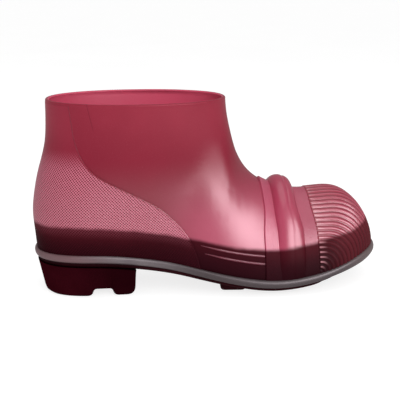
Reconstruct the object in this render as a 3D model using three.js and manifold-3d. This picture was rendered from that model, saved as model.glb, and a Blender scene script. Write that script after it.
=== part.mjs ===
// Ankle-high rubber rain boot for the right foot, laid up from separate rubber pieces over one moulded upper.
// Millimetres. While it is being laid out, +X runs from the heel to the toe, +Y to the inner (medial) side and
// +Z up from the ground; the whole boot is then moved so that its origin is the bottom centre of its box.
import * as THREE from "three";
import { mergeVertices } from "three/addons/utils/BufferGeometryUtils.js";
import Module from "manifold-3d";

const wasm = await Module();
wasm.setup();

// ---------------------------------------------------------------- driving dimensions
const RIM_Z = 145.5; // height of the topline above the ground
const WALL = 2.4; // moulded upper's wall
const FLOOR = 2.2; // moulded upper's floor under the insole board
const GAP = 0.35; // fit gap between neighbouring pieces
const SEAT = 0.6; // gap between the upper and the sheets laid on it
const WELT_H = 5.8; // height of the welt strip
const PLATE = 3.2; // outsole plate thickness
const NOTCH = 5.4; // height of the cross notch under the heel
const BOARD = 1.5; // insole board
const FOAM = 4.5; // removable footbed's foam
const COVER = 0.8; // footbed's knitted cover
const COUNTER_T = 0.95; // heel counter sheet
const BAND_T = 1.3; // flat instep and toe bands
const ROLL_TOP = 8.6; // crown of the convex instep roll above the upper
const ROLL_SIDE = 3.7; // the roll's height at the sides
const CAP_T = 1.6; // toe cap sheet
const BAND1 = [170.0, 179.7]; // flat band's stations at the sides
const ROLL = [180.3, 200.7];
const BAND2 = [201.3, 210.1];
const CAP_X = 210.7; // rear edge of the toe cap
const LEAN_X = [170, 180, 201, 211], LEAN = [2.0, -1.0, -3.2, -2.2]; // how far the bands lean forward over the top
const BAR_X = [122, 166.4]; // side bars
const TREAD_W = 0.76; // width of the tread bars against the last
const TIP_DROP = 1.9; // how far the welt comes down round the toe
const NM = 21; // stations along one side of the outline
const NU = 30; // rows from the topline to the feather edge

// ---------------------------------------------------------------- splines
function spline(x, y) {
  const n = x.length, h = [], al = Array(n).fill(0), l = Array(n).fill(1), mu = Array(n).fill(0), z = Array(n).fill(0);
  for (let i = 0; i < n - 1; i++) h.push(x[i + 1] - x[i]);
  for (let i = 1; i < n - 1; i++) al[i] = 3 * ((y[i + 1] - y[i]) / h[i] - (y[i] - y[i - 1]) / h[i - 1]);
  for (let i = 1; i < n - 1; i++) {
    l[i] = 2 * (x[i + 1] - x[i - 1]) - h[i - 1] * mu[i - 1];
    mu[i] = h[i] / l[i];
    z[i] = (al[i] - h[i - 1] * z[i - 1]) / l[i];
  }
  const c = Array(n).fill(0), b = Array(n - 1).fill(0), d = Array(n - 1).fill(0);
  for (let j = n - 2; j >= 0; j--) {
    c[j] = z[j] - mu[j] * c[j + 1];
    b[j] = (y[j + 1] - y[j]) / h[j] - (h[j] * (c[j + 1] + 2 * c[j])) / 3;
    d[j] = (c[j + 1] - c[j]) / (3 * h[j]);
  }
  const me = b[n - 2] + h[n - 2] * (2 * c[n - 2] + 3 * d[n - 2] * h[n - 2]);
  return (t) => {
    if (t < x[0]) return y[0] + (t - x[0]) * b[0];
    if (t > x[n - 1]) return y[n - 1] + (t - x[n - 1]) * me;
    let i = 0;
    while (i < n - 2 && t >= x[i + 1]) i++;
    const u = t - x[i];
    return y[i] + u * (b[i] + u * (c[i] + u * d[i]));
  };
}
const clamp = (v, a, b) => Math.min(b, Math.max(a, v));
const smooth = (a, b, v) => { const t = clamp((v - a) / (b - a), 0, 1); return t * t * (3 - 2 * t); };
const lerpTable = (v, xs, ys) => {
  if (v <= xs[0]) return ys[0];
  const n = xs.length;
  if (v >= xs[n - 1]) return ys[n - 1];
  let a = 0, b = n - 1;
  while (b - a > 1) { const m = (a + b) >> 1; if (xs[m] <= v) a = m; else b = m; }
  return ys[a] + ((ys[b] - ys[a]) * (v - xs[a])) / (xs[b] - xs[a]);
};

// ---------------------------------------------------------------- the last's lines
// feather line: height of the upper's lower edge along the boot
const ZF = spline([0, 30, 55, 77, 99, 121, 140, 159, 175, 190, 205, 217, 233, 250, 266],
  [28.0, 28.3, 27.2, 24.4, 20.6, 15.8, 11.6, 8.3, 6.8, 7.1, 8.8, 11.0, 14.6, 19.0, 22.0]);
// back of the upper by height
const XB = spline([24, 34, 45, 53.5, 61, 67.6, 74, 83, 91, 97, 106, 113, 126, 137, 146],
  [4.0, 2.4, 1.5, 0.8, 0.5, 0.9, 1.8, 3.5, 5.4, 7.1, 9.4, 10.8, 12.1, 12.5, 12.6]);
// centre profile from the topline's front, down the shaft and over the vamp and toe to the feather edge
const FRONT = [[145.1, 145.5], [146.3, 134], [149.2, 120], [153.0, 106.5], [157.2, 97], [163.4, 88.2], [172, 81.2], [182, 76.2],
  [192, 72.8], [203, 71.0], [215, 71.3], [227, 71.4], [237, 69.1], [245.6, 63.8], [252.8, 56.0], [258.6, 46], [262.0, 36.5], [263.8, 27.5]];
const arc = [0];
for (let i = 1; i < FRONT.length; i++) arc.push(arc[i - 1] + Math.hypot(FRONT[i][0] - FRONT[i - 1][0], FRONT[i][1] - FRONT[i - 1][1]));
const fx = spline(arc, FRONT.map((p) => p[0])), fz = spline(arc, FRONT.map((p) => p[1]));
const TN = 2001, TT = [], TX = [], TZ = [];
for (let i = 0; i < TN; i++) { const t = (arc.at(-1) * i) / (TN - 1); TT.push(t / arc.at(-1)); TX.push(fx(t)); TZ.push(fz(t)); }
const XTIP = TX.at(-1);
const throat = TZ.findIndex((z) => z < 80);
const zs = TZ.slice(0, throat).reverse(), xs = TX.slice(0, throat).reverse();
const slope = (xs[1] - xs[0]) / (zs[1] - zs[0]);
const zTop = (x) => (x < TX[0] ? TZ[0] + (TX[0] - x) * 12 : lerpTable(x, TX, TZ));
const xFront = (z) => { const A = 258 - xs[0]; return z < zs[0] ? xs[0] + A * (1 - Math.exp((slope * (zs[0] - z)) / A)) : lerpTable(z, zs, xs); };
// front of the toe by height
const toeZ = TZ.slice(1400).reverse(), toeX = TX.slice(1400).reverse();
const xToe = (z) => (z < toeZ[0] ? toeX[0] : lerpTable(z, toeZ, toeX));
// half widths
const BL = spline([24, 34, 45, 60, 80, 100, 120, 145.5], [30.0, 32.6, 35.0, 37.2, 39.2, 41.2, 43.4, 46.0]);
const XM = spline([24, 45, 60, 80, 100, 120, 145.5], [44, 46, 50, 57, 65, 72, 79]);
const WL = spline([40, 70, 100, 130, 150, 170, 185, 200, 215, 262], [35, 34.6, 35.6, 39.6, 42.8, 45.2, 45.8, 45.4, 44.0, 40.0]);
const WM = spline([40, 70, 100, 130, 150, 170, 185, 200, 215, 262], [35, 33.4, 32.2, 35.0, 38.8, 42.6, 44.8, 45.6, 45.0, 41.0]);
const YC = spline([0, 60, 120, 180, 230, 264], [0, 0, 0, 0.5, 2.5, 5.0]);
const P = 2.15; // section of the shaft
// the vamp's section is more peaked and fills out again over the toes
const PV = (x) => P - 0.53 * smooth(98, 162, x) + 0.38 * smooth(216, 246, x);
const ZC = (x) => 15 - 11 * smooth(98, 162, x) + 8 * smooth(216, 246, x);
const LAT = -1, MED = 1;
// half width of the section, eased along the boot where the shaft turns into the vamp
function halfWidth(x, z, side) {
  const r = Math.min(13 * smooth(108, 128, x) * (1 - smooth(170, 188, x)), 0.45 * Math.max(xFront(z) - x, 0));
  if (r < 1e-6) return plainWidth(x, z, side);
  return [[-1, 0.12], [-0.5, 0.23], [0, 0.3], [0.5, 0.23], [1, 0.12]].reduce((a, [k, w]) => a + w * plainWidth(x + k * r, z, side), 0);
}
function plainWidth(x, z, side) {
  const u = clamp((x - 204) / (XTIP - 204), 0, 1);
  const W = (side < 0 ? WL : WM)(x) * Math.pow(1 - Math.pow(u, 2.35), 1 / 2.1);
  const zf = ZF(x), zt = zTop(x), zc = zf + Math.min(ZC(x), 0.42 * Math.max(zt - zf, 0.01)), pv = PV(x);
  const e = clamp((z - zc) / Math.max(zt - zc, 1e-6), 0, 1);
  const yf = W * (z > zc ? Math.pow(1 - Math.pow(e, pv), 1 / pv) : Math.sqrt(clamp(1 - ((zc - z) / 38) ** 2, 0, 1)));
  const xm = XM(z), xb = XB(z), xf = xFront(z);
  const xi = clamp(x < xm ? (xm - x) / (xm - xb) : (x - xm) / (xf - xm), 0, 1);
  const ys = BL(z) * (side < 0 ? 1 : 0.985) * Math.pow(1 - Math.pow(xi, P), 1 / P);
  const l = 60 + Math.max(z - 60, 0) * 1.2, s = smooth(l, l + 70, x);
  return (1 - s) * ys + s * yf;
}
const at = (x, z, side) => new THREE.Vector3(x, YC(x) + side * halfWidth(x, z, side), z);
const cosine = (k, n) => (1 - Math.cos((Math.PI * k) / (n - 1))) / 2;

// four-sided patch of the side view, from curve f (front) to curve b (back), u running down both
function coons(u, m, f, b, top, bottom) {
  const F = f(u), B = b(u), R = top(m), E = bottom(m), f0 = f(0), f1 = f(1), b0 = b(0), b1 = b(1);
  return [0, 1].map((i) => (1 - m) * F[i] + m * B[i] + (1 - u) * R[i] + u * E[i]
    - ((1 - u) * (1 - m) * f0[i] + (1 - u) * m * b0[i] + u * (1 - m) * f1[i] + u * m * b1[i]));
}

// ---------------------------------------------------------------- solids
// a grid of points, rows by columns; wrap joins the last column to the first
function normals(G, wrap) {
  const R = G.length, C = G[0].length, N = [];
  for (let i = 0; i < R; i++) {
    N.push([]);
    for (let j = 0; j < C; j++) {
      const a = G[Math.max(i - 1, 0)][j], b = G[Math.min(i + 1, R - 1)][j];
      const c = G[i][wrap ? (j - 1 + C) % C : Math.max(j - 1, 0)], d = G[i][wrap ? (j + 1) % C : Math.min(j + 1, C - 1)];
      N[i].push(b.clone().sub(a).cross(d.clone().sub(c)).normalize());
    }
  }
  return N;
}
const offset = (G, N, h) => G.map((row, i) => row.map((p, j) => p.clone().addScaledVector(N[i][j], typeof h === "function" ? h(p, i, j) : h)));
function meshOf(tris) {
  const pos = [];
  for (const t of tris) for (const v of t) pos.push(v.x, v.y, v.z);
  let g = new THREE.BufferGeometry();
  g.setAttribute("position", new THREE.Float32BufferAttribute(pos, 3));
  g = mergeVertices(g, 1e-3);
  const ix = g.index.array, keep = [];
  for (let i = 0; i < ix.length; i += 3) if (ix[i] !== ix[i + 1] && ix[i + 1] !== ix[i + 2] && ix[i] !== ix[i + 2]) keep.push(ix[i], ix[i + 1], ix[i + 2]);
  // faces out
  const q = g.attributes.position, v = [0, 1, 2].map(() => new THREE.Vector3());
  let vol = 0;
  for (let i = 0; i < keep.length; i += 3) {
    for (let k = 0; k < 3; k++) v[k].fromBufferAttribute(q, keep[i + k]);
    vol += v[0].dot(v[1].clone().cross(v[2]));
  }
  if (vol < 0) for (let i = 0; i < keep.length; i += 3) [keep[i + 1], keep[i + 2]] = [keep[i + 2], keep[i + 1]];
  g.setIndex(keep);
  return g;
}
const quad = (T, a, b, c, d) => { T.push([a, b, c], [a, c, d]); };
// a sheet between grids A (one face) and B (the other)
function sheet(A, B, wrap = false, capLast = false) {
  const T = [], R = A.length, C = A[0].length, CC = wrap ? C : C - 1;
  for (let i = 0; i < R - 1; i++) for (let j = 0; j < CC; j++) {
    const k = (j + 1) % C;
    quad(T, A[i][j], A[i + 1][j], A[i + 1][k], A[i][k]);
    quad(T, B[i][j], B[i][k], B[i + 1][k], B[i + 1][j]);
  }
  for (let j = 0; j < CC; j++) {
    const k = (j + 1) % C;
    quad(T, A[0][j], A[0][k], B[0][k], B[0][j]);
    if (!capLast) quad(T, A[R - 1][j], B[R - 1][j], B[R - 1][k], A[R - 1][k]);
  }
  if (!wrap) for (let i = 0; i < R - 1; i++) {
    quad(T, A[i][0], B[i][0], B[i + 1][0], A[i + 1][0]);
    quad(T, A[i][C - 1], A[i + 1][C - 1], B[i + 1][C - 1], B[i][C - 1]);
  }
  if (capLast) { ladder(T, A[R - 1], true); ladder(T, B[R - 1], false); }
  return meshOf(T);
}
// closes a loop that runs front, one side, back, other side
function ladder(T, loop, flip) {
  const n = loop.length, h = n / 2, o = (k) => loop[(n - k) % n];
  for (let k = 0; k < h; k++) {
    const a = loop[k], b = loop[k + 1], c = o(k + 1), d = o(k);
    if (flip) { T.push([a, c, b], [a, d, c]); } else { T.push([a, b, c], [a, c, d]); }
  }
}
// a solid stacked from loops of the same length, closed with ladders at both ends
function stack(loops) {
  const T = [], n = loops[0].length;
  for (let i = 0; i < loops.length - 1; i++) for (let j = 0; j < n; j++) quad(T, loops[i][j], loops[i][(j + 1) % n], loops[i + 1][(j + 1) % n], loops[i + 1][j]);
  ladder(T, loops[0], true);
  ladder(T, loops.at(-1), false);
  return meshOf(T);
}
// a ring whose section is a closed list of loops
function ring(loops) {
  const T = [], n = loops[0].length, s = loops.length;
  for (let i = 0; i < s; i++) for (let j = 0; j < n; j++) quad(T, loops[i][j], loops[i][(j + 1) % n], loops[(i + 1) % s][(j + 1) % n], loops[(i + 1) % s][j]);
  return meshOf(T);
}
function toManifold(g) {
  let m = g.clone();
  for (const k of Object.keys(m.attributes)) if (k !== "position") m.deleteAttribute(k);
  m = mergeVertices(m, 1e-3);
  return new wasm.Manifold(new wasm.Mesh({ numProp: 3, vertProperties: new Float32Array(m.attributes.position.array), triVerts: new Uint32Array(m.index.array) }));
}
function fromManifold(s) {
  const m = s.getMesh(), g = new THREE.BufferGeometry();
  const pos = [];
  for (let i = 0; i < m.vertProperties.length; i += m.numProp) pos.push(m.vertProperties[i], m.vertProperties[i + 1], m.vertProperties[i + 2]);
  g.setAttribute("position", new THREE.Float32BufferAttribute(pos, 3));
  g.setIndex([...m.triVerts]);
  return g;
}

// ---------------------------------------------------------------- outlines in plan
// loop round the boot at height h above the feather line, moved out by out mm; z is the feather line plus h plus dz
function outline(h, out, dz = 0, n = NM) {
  const xbk = XB(ZF(3) + h), xfr = xToe(ZF(XTIP) + h), L = [], M = [];
  for (let k = 0; k < n; k++) {
    const x = xfr + (xbk - xfr) * cosine(k, n), z = ZF(x) + h, end = k === 0 || k === n - 1;
    L.push(end ? new THREE.Vector3(x, YC(x), z) : at(x, z, LAT));
    M.push(end ? new THREE.Vector3(x, YC(x), z) : at(x, z, MED));
  }
  const loop = [...L, ...M.slice(1, -1).reverse()], N = loop.length;
  return loop.map((p, i) => {
    const a = loop[(i - 1 + N) % N], b = loop[(i + 1) % N];
    const t = new THREE.Vector3(b.x - a.x, b.y - a.y, 0).normalize(), nrm = new THREE.Vector3(t.y, -t.x, 0);
    if (nrm.x * (p.x - 120) + nrm.y * p.y * 3 < 0) nrm.negate();
    const q = p.clone().addScaledVector(nrm, typeof out === "function" ? out(p.x) : out);
    q.z = ZF(q.x) + h + (typeof dz === "function" ? dz(q.x) : dz);
    return q;
  });
}
const level = (loop, f) => loop.map((p) => new THREE.Vector3(p.x, p.y, f(p)));

// ---------------------------------------------------------------- upper shell
function upperGrid(lift) {
  const G = [];
  const zb = ZF(3) + lift;
  const f = (u) => [lerpTable(u, TT, TX), lerpTable(u, TT, TZ)];
  const zt = ZF(XTIP) + lift; // the front curve stops at the lifted feather line
  let uEnd = 1;
  while (f(uEnd)[1] < zt) uEnd -= 0.0005;
  const ff = (u) => f(u * uEnd);
  const b = (u) => { const z = RIM_Z + (zb - RIM_Z) * u; return [XB(z), z]; };
  const top = (m) => { const a = ff(0), c = b(0); return [a[0] + (c[0] - a[0]) * m, a[1] + (c[1] - a[1]) * m]; };
  const bottom = (m) => { const a = ff(1), c = b(1), x = a[0] + (c[0] - a[0]) * m; return m === 0 ? a : m === 1 ? c : [x, ZF(x) + lift]; };
  for (let i = 0; i < NU; i++) {
    const u = i / (NU - 1), L = [], M = [];
    for (let k = 0; k < NM; k++) {
      const m = cosine(k, NM), [x, z] = coons(u, m, ff, b, top, bottom), end = k === 0 || k === NM - 1;
      L.push(end ? new THREE.Vector3(x, YC(x), z) : at(x, z, LAT));
      M.push(end ? new THREE.Vector3(x, YC(x), z) : at(x, z, MED));
    }
    G.push([...L, ...M.slice(1, -1).reverse()]);
  }
  return G;
}
const outward = (N, G) => { // makes a grid's normals point away from the boot's middle
  const i = Math.floor(G.length / 2), j = Math.floor(G[0].length / 4), p = G[i][j];
  return N[i][j].y * (p.y - YC(p.x)) < 0 ? N.map((r) => r.map((v) => v.negate())) : N;
};
// makes the last row of a lifted grid move level, at a set height above the feather line
const levelRow = (G, N, i, h, f) => {
  const row = G[i].map((p, j) => p.clone().addScaledVector(new THREE.Vector3(N[i][j].x, N[i][j].y, 0).normalize(), h));
  for (const p of row) p.z = f(p.x);
  return row;
};
const outer = upperGrid(0), innerBase = upperGrid(FLOOR), innerN = outward(normals(innerBase, true), innerBase);
const inner = offset(innerBase, innerN, -WALL);
inner[NU - 1] = levelRow(innerBase, innerN, NU - 1, -WALL, (x) => ZF(x) + FLOOR);
const upper = sheet(outer, inner, true, true);

// ---------------------------------------------------------------- pieces laid on the upper
const zBot = (x) => ZF(x) + WELT_H + GAP; // top of the welt
// heel counter: back panel behind the swept edge line, from the topline to the welt
const SWOOSH = spline([22, 38.7, 46.5, 54.3, 62.1, 70.7, 77.8, 85.6, 91, 97, 106.5, 113.6, 122.1, 132.5, 141.5, 147],
  [122, 117, 113.3, 107.5, 100.3, 90.0, 78.0, 63.7, 54.0, 45.5, 38.0, 34.8, 32.7, 31.4, 30.3, 29.4]);
let zSw = 28;
for (let k = 0; k < 40; k++) zSw = zBot(SWOOSH(zSw));
function counterGrid(rows, cols) {
  const f = (u) => { const z = RIM_Z - 0.4 + (zSw - RIM_Z + 0.4) * u; return [SWOOSH(z), z]; };
  const zb = zBot(2.5), b = (u) => { const z = RIM_Z - 0.4 + (zb - RIM_Z + 0.4) * u; return [XB(z), z]; };
  const top = (m) => { const a = f(0), c = b(0); return [a[0] + (c[0] - a[0]) * m, a[1] + (c[1] - a[1]) * m]; };
  const bottom = (m) => { const a = f(1), c = b(1), x = a[0] + (c[0] - a[0]) * m; return m === 1 ? c : [x, zBot(x)]; };
  const G = [];
  for (let i = 0; i < rows; i++) {
    const L = [], M = [];
    for (let k = 0; k < cols; k++) {
      const m = Math.sin((Math.PI / 2) * (k / (cols - 1))), [x, z] = coons(i / (rows - 1), m, f, b, top, bottom), end = k === cols - 1;
      L.push(end ? new THREE.Vector3(x, YC(x), z) : at(x, z, LAT));
      M.push(end ? new THREE.Vector3(x, YC(x), z) : at(x, z, MED));
    }
    G.push([...L, ...M.slice(0, -1).reverse()]);
  }
  return G;
}
// both faces of a piece laid on the upper; its lowest row stays just above the welt
function laid(G, N, top, seat = SEAT) {
  const A = offset(G, N, top), B = offset(G, N, seat), i = G.length - 1;
  A[i] = levelRow(G, N, i, typeof top === "function" ? top(G[i][0]) : top, zBot);
  B[i] = levelRow(G, N, i, seat, zBot);
  return sheet(A, B);
}
const cg = counterGrid(24, 13), cn = outward(normals(cg, false), cg);
const heelCounter = laid(cg, cn, SEAT + COUNTER_T);

const over = (x) => lerpTable(x, LEAN_X, LEAN);
const lean = (x, z) => over(x) * smooth(44, 64, z);
// bands across the instep: rows at stations in x, columns from the outer welt over the top to the inner welt
function archGrid(x0, x1, rows, half) {
  const G = [];
  for (let i = 0; i < rows; i++) {
    const x = x0 + ((x1 - x0) * i) / (rows - 1), z0 = zBot(x), zt = zTop(x + over(x)), zc = ZF(x) + 15, row = (side) => {
      const out = [];
      for (let k = 0; k <= half; k++) {
        const s = k / half, z = s < 0.2 ? z0 + ((zc - z0) * s) / 0.2 : zc + (zt - zc) * Math.sin(((s - 0.2) / 0.8) * (Math.PI / 2));
        out.push(k === half ? new THREE.Vector3(x + over(x), YC(x + over(x)), zt) : at(x + lean(x, z), z, side));
      }
      return out;
    };
    G.push([...row(LAT), ...row(MED).slice(0, -1).reverse()]);
  }
  return G;
}
function arch(x0, x1, rows, h) {
  const G = archGrid(x0, x1, rows, 13), N = outward(normals(G, false), G);
  const A = offset(G, N, h), B = offset(G, N, SEAT);
  for (const j of [0, G[0].length - 1]) for (const [S, t] of [[A, h], [B, SEAT]]) G.forEach((r, i) => {
    const p = r[j].clone().addScaledVector(new THREE.Vector3(N[i][j].x, N[i][j].y, 0).normalize(), typeof t === "function" ? t(r[j], i) : t);
    p.z = zBot(p.x);
    S[i][j] = p;
  });
  return sheet(A, B);
}
const instepBand = arch(...BAND1, 3, SEAT + BAND_T);
const toeBand = arch(...BAND2, 3, SEAT + BAND_T);
const instepRoll = arch(...ROLL, 9, (p, i) => {
  const e = i / 4 - 1, up = smooth(26, 68, p.z), low = smooth(12, 34, p.z);
  const H = (1.2 + (ROLL_SIDE - 1.2) * low) * (1 - up) + ROLL_TOP * up;
  return SEAT + 1.0 + (H - 1.0) * Math.sqrt(1 - e * e);
});

// toe cap: rays from the welt corner at the rear edge to the centre profile
const TK = [...TX.keys()];
function capGrid(rows, cols) {
  const C = [CAP_X, zBot(CAP_X)];
  const i0 = TX.findIndex((x) => x > CAP_X);
  let i1 = TN - 1;
  while (TZ[i1] < zBot(TX[i1])) i1--;
  const G = [];
  for (let i = 0; i < rows; i++) {
    const k = i0 + ((i1 - i0) * i) / (rows - 1), ex = i === 0 ? CAP_X : lerpTable(k, TK, TX), ez = i === 0 ? zTop(CAP_X) : lerpTable(k, TK, TZ), L = [], M = [];
    for (let j = 0; j < cols; j++) {
      const r = Math.sin((Math.PI / 2) * (j / (cols - 1)));
      let x = C[0] + r * (ex - C[0]), z = C[1] + r * (ez - C[1]);
      z = Math.max(z, zBot(x));
      if (i === rows - 1) z = zBot(x);
      const end = j === cols - 1, near = Math.max(0, 1 - (x - CAP_X) / 25);
      x += lean(CAP_X, z) * near;
      if (near > 0) z = end ? zTop(x) : Math.min(z, zTop(x));
      L.push(end ? new THREE.Vector3(x, YC(x), z) : at(x, z, LAT));
      M.push(end ? new THREE.Vector3(x, YC(x), z) : at(x, z, MED));
    }
    G.push([...L, ...M.slice(0, -1).reverse()]);
  }
  return G;
}
const tg = capGrid(15, 13);
let tn = outward(normals(tg, false), tg);
for (const j of [0, tg[0].length - 1]) { const s = j === 0 ? -1 : 1; for (const r of tn) r[j] = new THREE.Vector3(0, s, 0); }
tn[0] = tn[0].map((v) => new THREE.Vector3(0, v.y, v.z).normalize()); // the rear edge stays in its plane
const toeCap = laid(tg, tn, SEAT + CAP_T);

// two bars low on each side
function sideBar(side, h) {
  const G = [];
  for (let i = 0; i < 3; i++) {
    const row = [];
    for (let k = 0; k <= 9; k++) {
      const x = BAR_X[0] + (side < 0 ? 0 : 3) + ((BAR_X[1] - BAR_X[0]) * k) / 9;
      row.push(at(x, ZF(x) + h(x) + (i - 1) * 0.9, side));
    }
    G.push(row);
  }
  let N = normals(G, false);
  if (N[1][4].y * side < 0) N = N.map((r) => r.map((v) => v.negate()));
  return sheet(offset(G, N, (p, i) => GAP + (i === 1 ? 1.5 : 0.5)), offset(G, N, GAP));
}
const BAR_HI = (x) => 24.2 - ((x - 122) / 46) * 1.0, BAR_LO = (x) => 18.6 - ((x - 122) / 46) * 1.0;

// ---------------------------------------------------------------- welt, outsole and heel
// round the toe it is thicker, comes lower and covers the outsole's edge
const tip = (x) => smooth(222, 252, x);
const low = (x) => -TIP_DROP * tip(x);
const welt = ring([outline(0, GAP, low), outline(WELT_H, GAP), outline(WELT_H, (x) => 1.5 + 0.3 * tip(x)), outline(4.4, (x) => 3.0 + 0.7 * tip(x)),
  outline(2.6, (x) => 3.3 + 1.0 * tip(x), (x) => 0.3 * low(x)), outline(0, (x) => 1.8 + 0.9 * tip(x), low)]);

const plateIn = (x) => 2.1 * smooth(90, 150, x) + 5 * smooth(208, 230, x);
const plateTop = level(outline(0, (x) => 0.9 - plateIn(x)), (p) => ZF(p.x) - GAP);
const plateBot = level(outline(0, (x) => 0.3 - plateIn(x)), (p) => ZF(p.x) - GAP - PLATE);
const plate = stack([plateBot, plateTop]);
// line the tread bars reach down to: flat under the ball, rising to the waist and to the toe
const GROUND = spline([118, 126, 134, 140, 188, 205, 214, 224, 236, 252], [13.2, 7.6, 2.2, 0.0, 0.0, 1.3, 2.4, 4.4, 7.9, 14.6]);
const ground = (x) => (x > 139 && x < 189 ? 0 : Math.max(0, GROUND(x)));
// tread body: an inset stack under the forefoot, from the ground line up into the plate
function treadLoop(inset, f) {
  const n = 29, L = [], M = [];
  for (let k = 0; k < n; k++) {
    const x = 245.5 - inset + (118 + inset * 0.5 - 245.5 + inset) * cosine(k, n);
    const e = Math.min(1, Math.pow(Math.max(0, 1 - Math.pow(clamp((x - 214) / (245.5 - inset - 214), 0, 1), 2.4)), 0.5));
    const y = (s) => YC(x) + s * ((s < 0 ? WL : WM)(x) * TREAD_W - 3.0 - inset) * (k === 0 ? 0 : e) * (k === n - 1 ? 0 : 1);
    L.push(new THREE.Vector3(x, y(LAT), f(x)));
    M.push(new THREE.Vector3(x, y(MED), f(x)));
  }
  return [...L, ...M.slice(1, -1).reverse()];
}
const tread = stack([treadLoop(1.2, (x) => ground(x)), treadLoop(0.2, (x) => ground(x) + 1.4), treadLoop(0, (x) => ZF(x) - GAP - PLATE + 1.0)]);
let sole = toManifold(plate).add(toManifold(tread));
// grooves between the five cross bars, bowed towards the toe
const grooves = [124.5, 159.5, 195.5, 232];
for (const g of grooves) {
  const w = 7.2, s = new THREE.Shape();
  const bow = (y) => 9 * (1 - (y / 52) ** 2);
  s.moveTo(g - w + bow(-52), -52);
  for (let y = -39; y <= 52; y += 13) s.lineTo(g - w + bow(y), y);
  for (let y = 52; y >= -52; y -= 13) s.lineTo(g + w + bow(y), y);
  const e = new THREE.ExtrudeGeometry(s, { depth: 40, bevelEnabled: false });
  const pos = e.attributes.position; // the groove's roof follows the plate
  for (let i = 0; i < pos.count; i++) pos.setZ(i, pos.getZ(i) > 20 ? ZF(pos.getX(i)) - GAP - PLATE - 0.05 : -6);
  sole = sole.subtract(toManifold(e));
}
const outsole = fromManifold(sole);

// heel block: tapers down to the ground, with a cross notch in its tread
const HEEL_END = 74.5;
function heelLoop(inset, z) {
  const n = 15, L = [], M = [], xb = XB(ZF(3)) + inset - 1.9;
  for (let k = 0; k < n; k++) {
    const x = HEEL_END - (inset > 5 ? 1.2 : inset > 3 ? 0.6 : 0) + (xb - HEEL_END) * Math.sin((Math.PI / 2) * (k / (n - 1)));
    const end = k === n - 1, xx = Math.max(x, xb), side = (s) => {
      if (end) return new THREE.Vector3(xb, 0, typeof z === "function" ? z(xb) : z);
      const t = clamp((46 - xx) / (46 - xb), 0, 1), w = (s < 0 ? 34.0 : 33.6) - inset * 1.22 + (xx > 46 ? (xx - 46) * 0.012 : 0);
      return new THREE.Vector3(xx, s * w * Math.pow(1 - Math.pow(t, 2.3), 1 / 2.1), typeof z === "function" ? z(xx) : z);
    };
    L.push(side(LAT));
    M.push(side(MED));
  }
  const mid = new THREE.Vector3(L[0].x, 0, L[0].z);
  return [mid, ...L, ...M.slice(0, -1).reverse()];
}
const under = (x) => ZF(x) - GAP - PLATE - GAP;
let heel = toManifold(stack([heelLoop(5.8, 0), heelLoop(3.9, 1.2), heelLoop(2.8, 4.2), heelLoop(0.2, (x) => under(x))]));
const box = (x0, x1, y0, y1, z0, z1) => new THREE.BoxGeometry(x1 - x0, y1 - y0, z1 - z0).translate((x0 + x1) / 2, (y0 + y1) / 2, (z0 + z1) / 2);
heel = heel.subtract(toManifold(box(42.3, 57.4, -60, 60, -5, NOTCH)));
// pocket for the filler, open at the top
function pocket(grow, z0, z1) {
  const s = new THREE.Shape(), a = 15 - grow, b = 66 + grow, w = 21 + grow, r = 14;
  s.moveTo(b, -w); s.lineTo(b, w); s.lineTo(a + r, w); s.absarc(a + r, w - r, r, Math.PI / 2, Math.PI, false);
  s.lineTo(a, -w + r); s.absarc(a + r, -w + r, r, Math.PI, 1.5 * Math.PI, false); s.closePath();
  return new THREE.ExtrudeGeometry(s, { depth: z1 - z0, bevelEnabled: false, curveSegments: 5 }).translate(0, 0, z0);
}
heel = heel.subtract(toManifold(pocket(0, 10, 60)));
const heelBlock = fromManifold(heel);
// the filler's top follows the underside of the outsole plate
const coreGeo = pocket(-GAP, 10 + GAP, 40);
{ const p = coreGeo.attributes.position; for (let i = 0; i < p.count; i++) if (p.getZ(i) > 20) p.setZ(i, under(p.getX(i)) - 0.2); }
const coreM = toManifold(coreGeo);
const heelCore = fromManifold(coreM);

// ---------------------------------------------------------------- inside
const flat = (z0, z1, out) => stack([level(outline(4, out), (p) => ZF(p.x) + z0), level(outline(4, out), (p) => ZF(p.x) + z1)]);
const b0 = FLOOR + GAP, f0 = b0 + BOARD + GAP, c0 = f0 + FOAM + 0.3;
const insoleBoard = flat(b0, b0 + BOARD, -(WALL + 1.2));
const footbedFoam = flat(f0, f0 + FOAM, -(WALL + 3.2));
const footbedCover = flat(c0, c0 + COVER, -(WALL + 3.2));

// ---------------------------------------------------------------- scene
const PVC = { color: 0xa23a55, roughness: 0.32, metalness: 0 };
const SOLE = { color: 0x2c0a10, roughness: 0.5, metalness: 0 };
const GREY = { color: 0x6f6769, roughness: 0.5, metalness: 0 };
const list = [
  ["upper_shell", upper, PVC], ["heel_counter", heelCounter, PVC], ["instep_band", instepBand, PVC], ["instep_roll", instepRoll, PVC],
  ["toe_band", toeBand, PVC], ["toe_cap", toeCap, PVC],
  ["side_bar_outer_upper", sideBar(LAT, BAR_HI), PVC], ["side_bar_outer_lower", sideBar(LAT, BAR_LO), PVC],
  ["side_bar_inner_upper", sideBar(MED, BAR_HI), PVC], ["side_bar_inner_lower", sideBar(MED, BAR_LO), PVC],
  ["welt_strip", welt, GREY], ["outsole", outsole, SOLE], ["heel_block", heelBlock, SOLE],
  ["heel_core", heelCore, { color: 0xb9a888, roughness: 0.9, metalness: 0 }],
  ["insole_board", insoleBoard, { color: 0x8a7a62, roughness: 0.9, metalness: 0 }],
  ["footbed_foam", footbedFoam, { color: 0x3a2a30, roughness: 0.9, metalness: 0 }],
  ["footbed_cover", footbedCover, { color: 0x7d5560, roughness: 0.95, metalness: 0 }],
];
const group = new THREE.Group();
const whole = new THREE.Box3();
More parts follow.
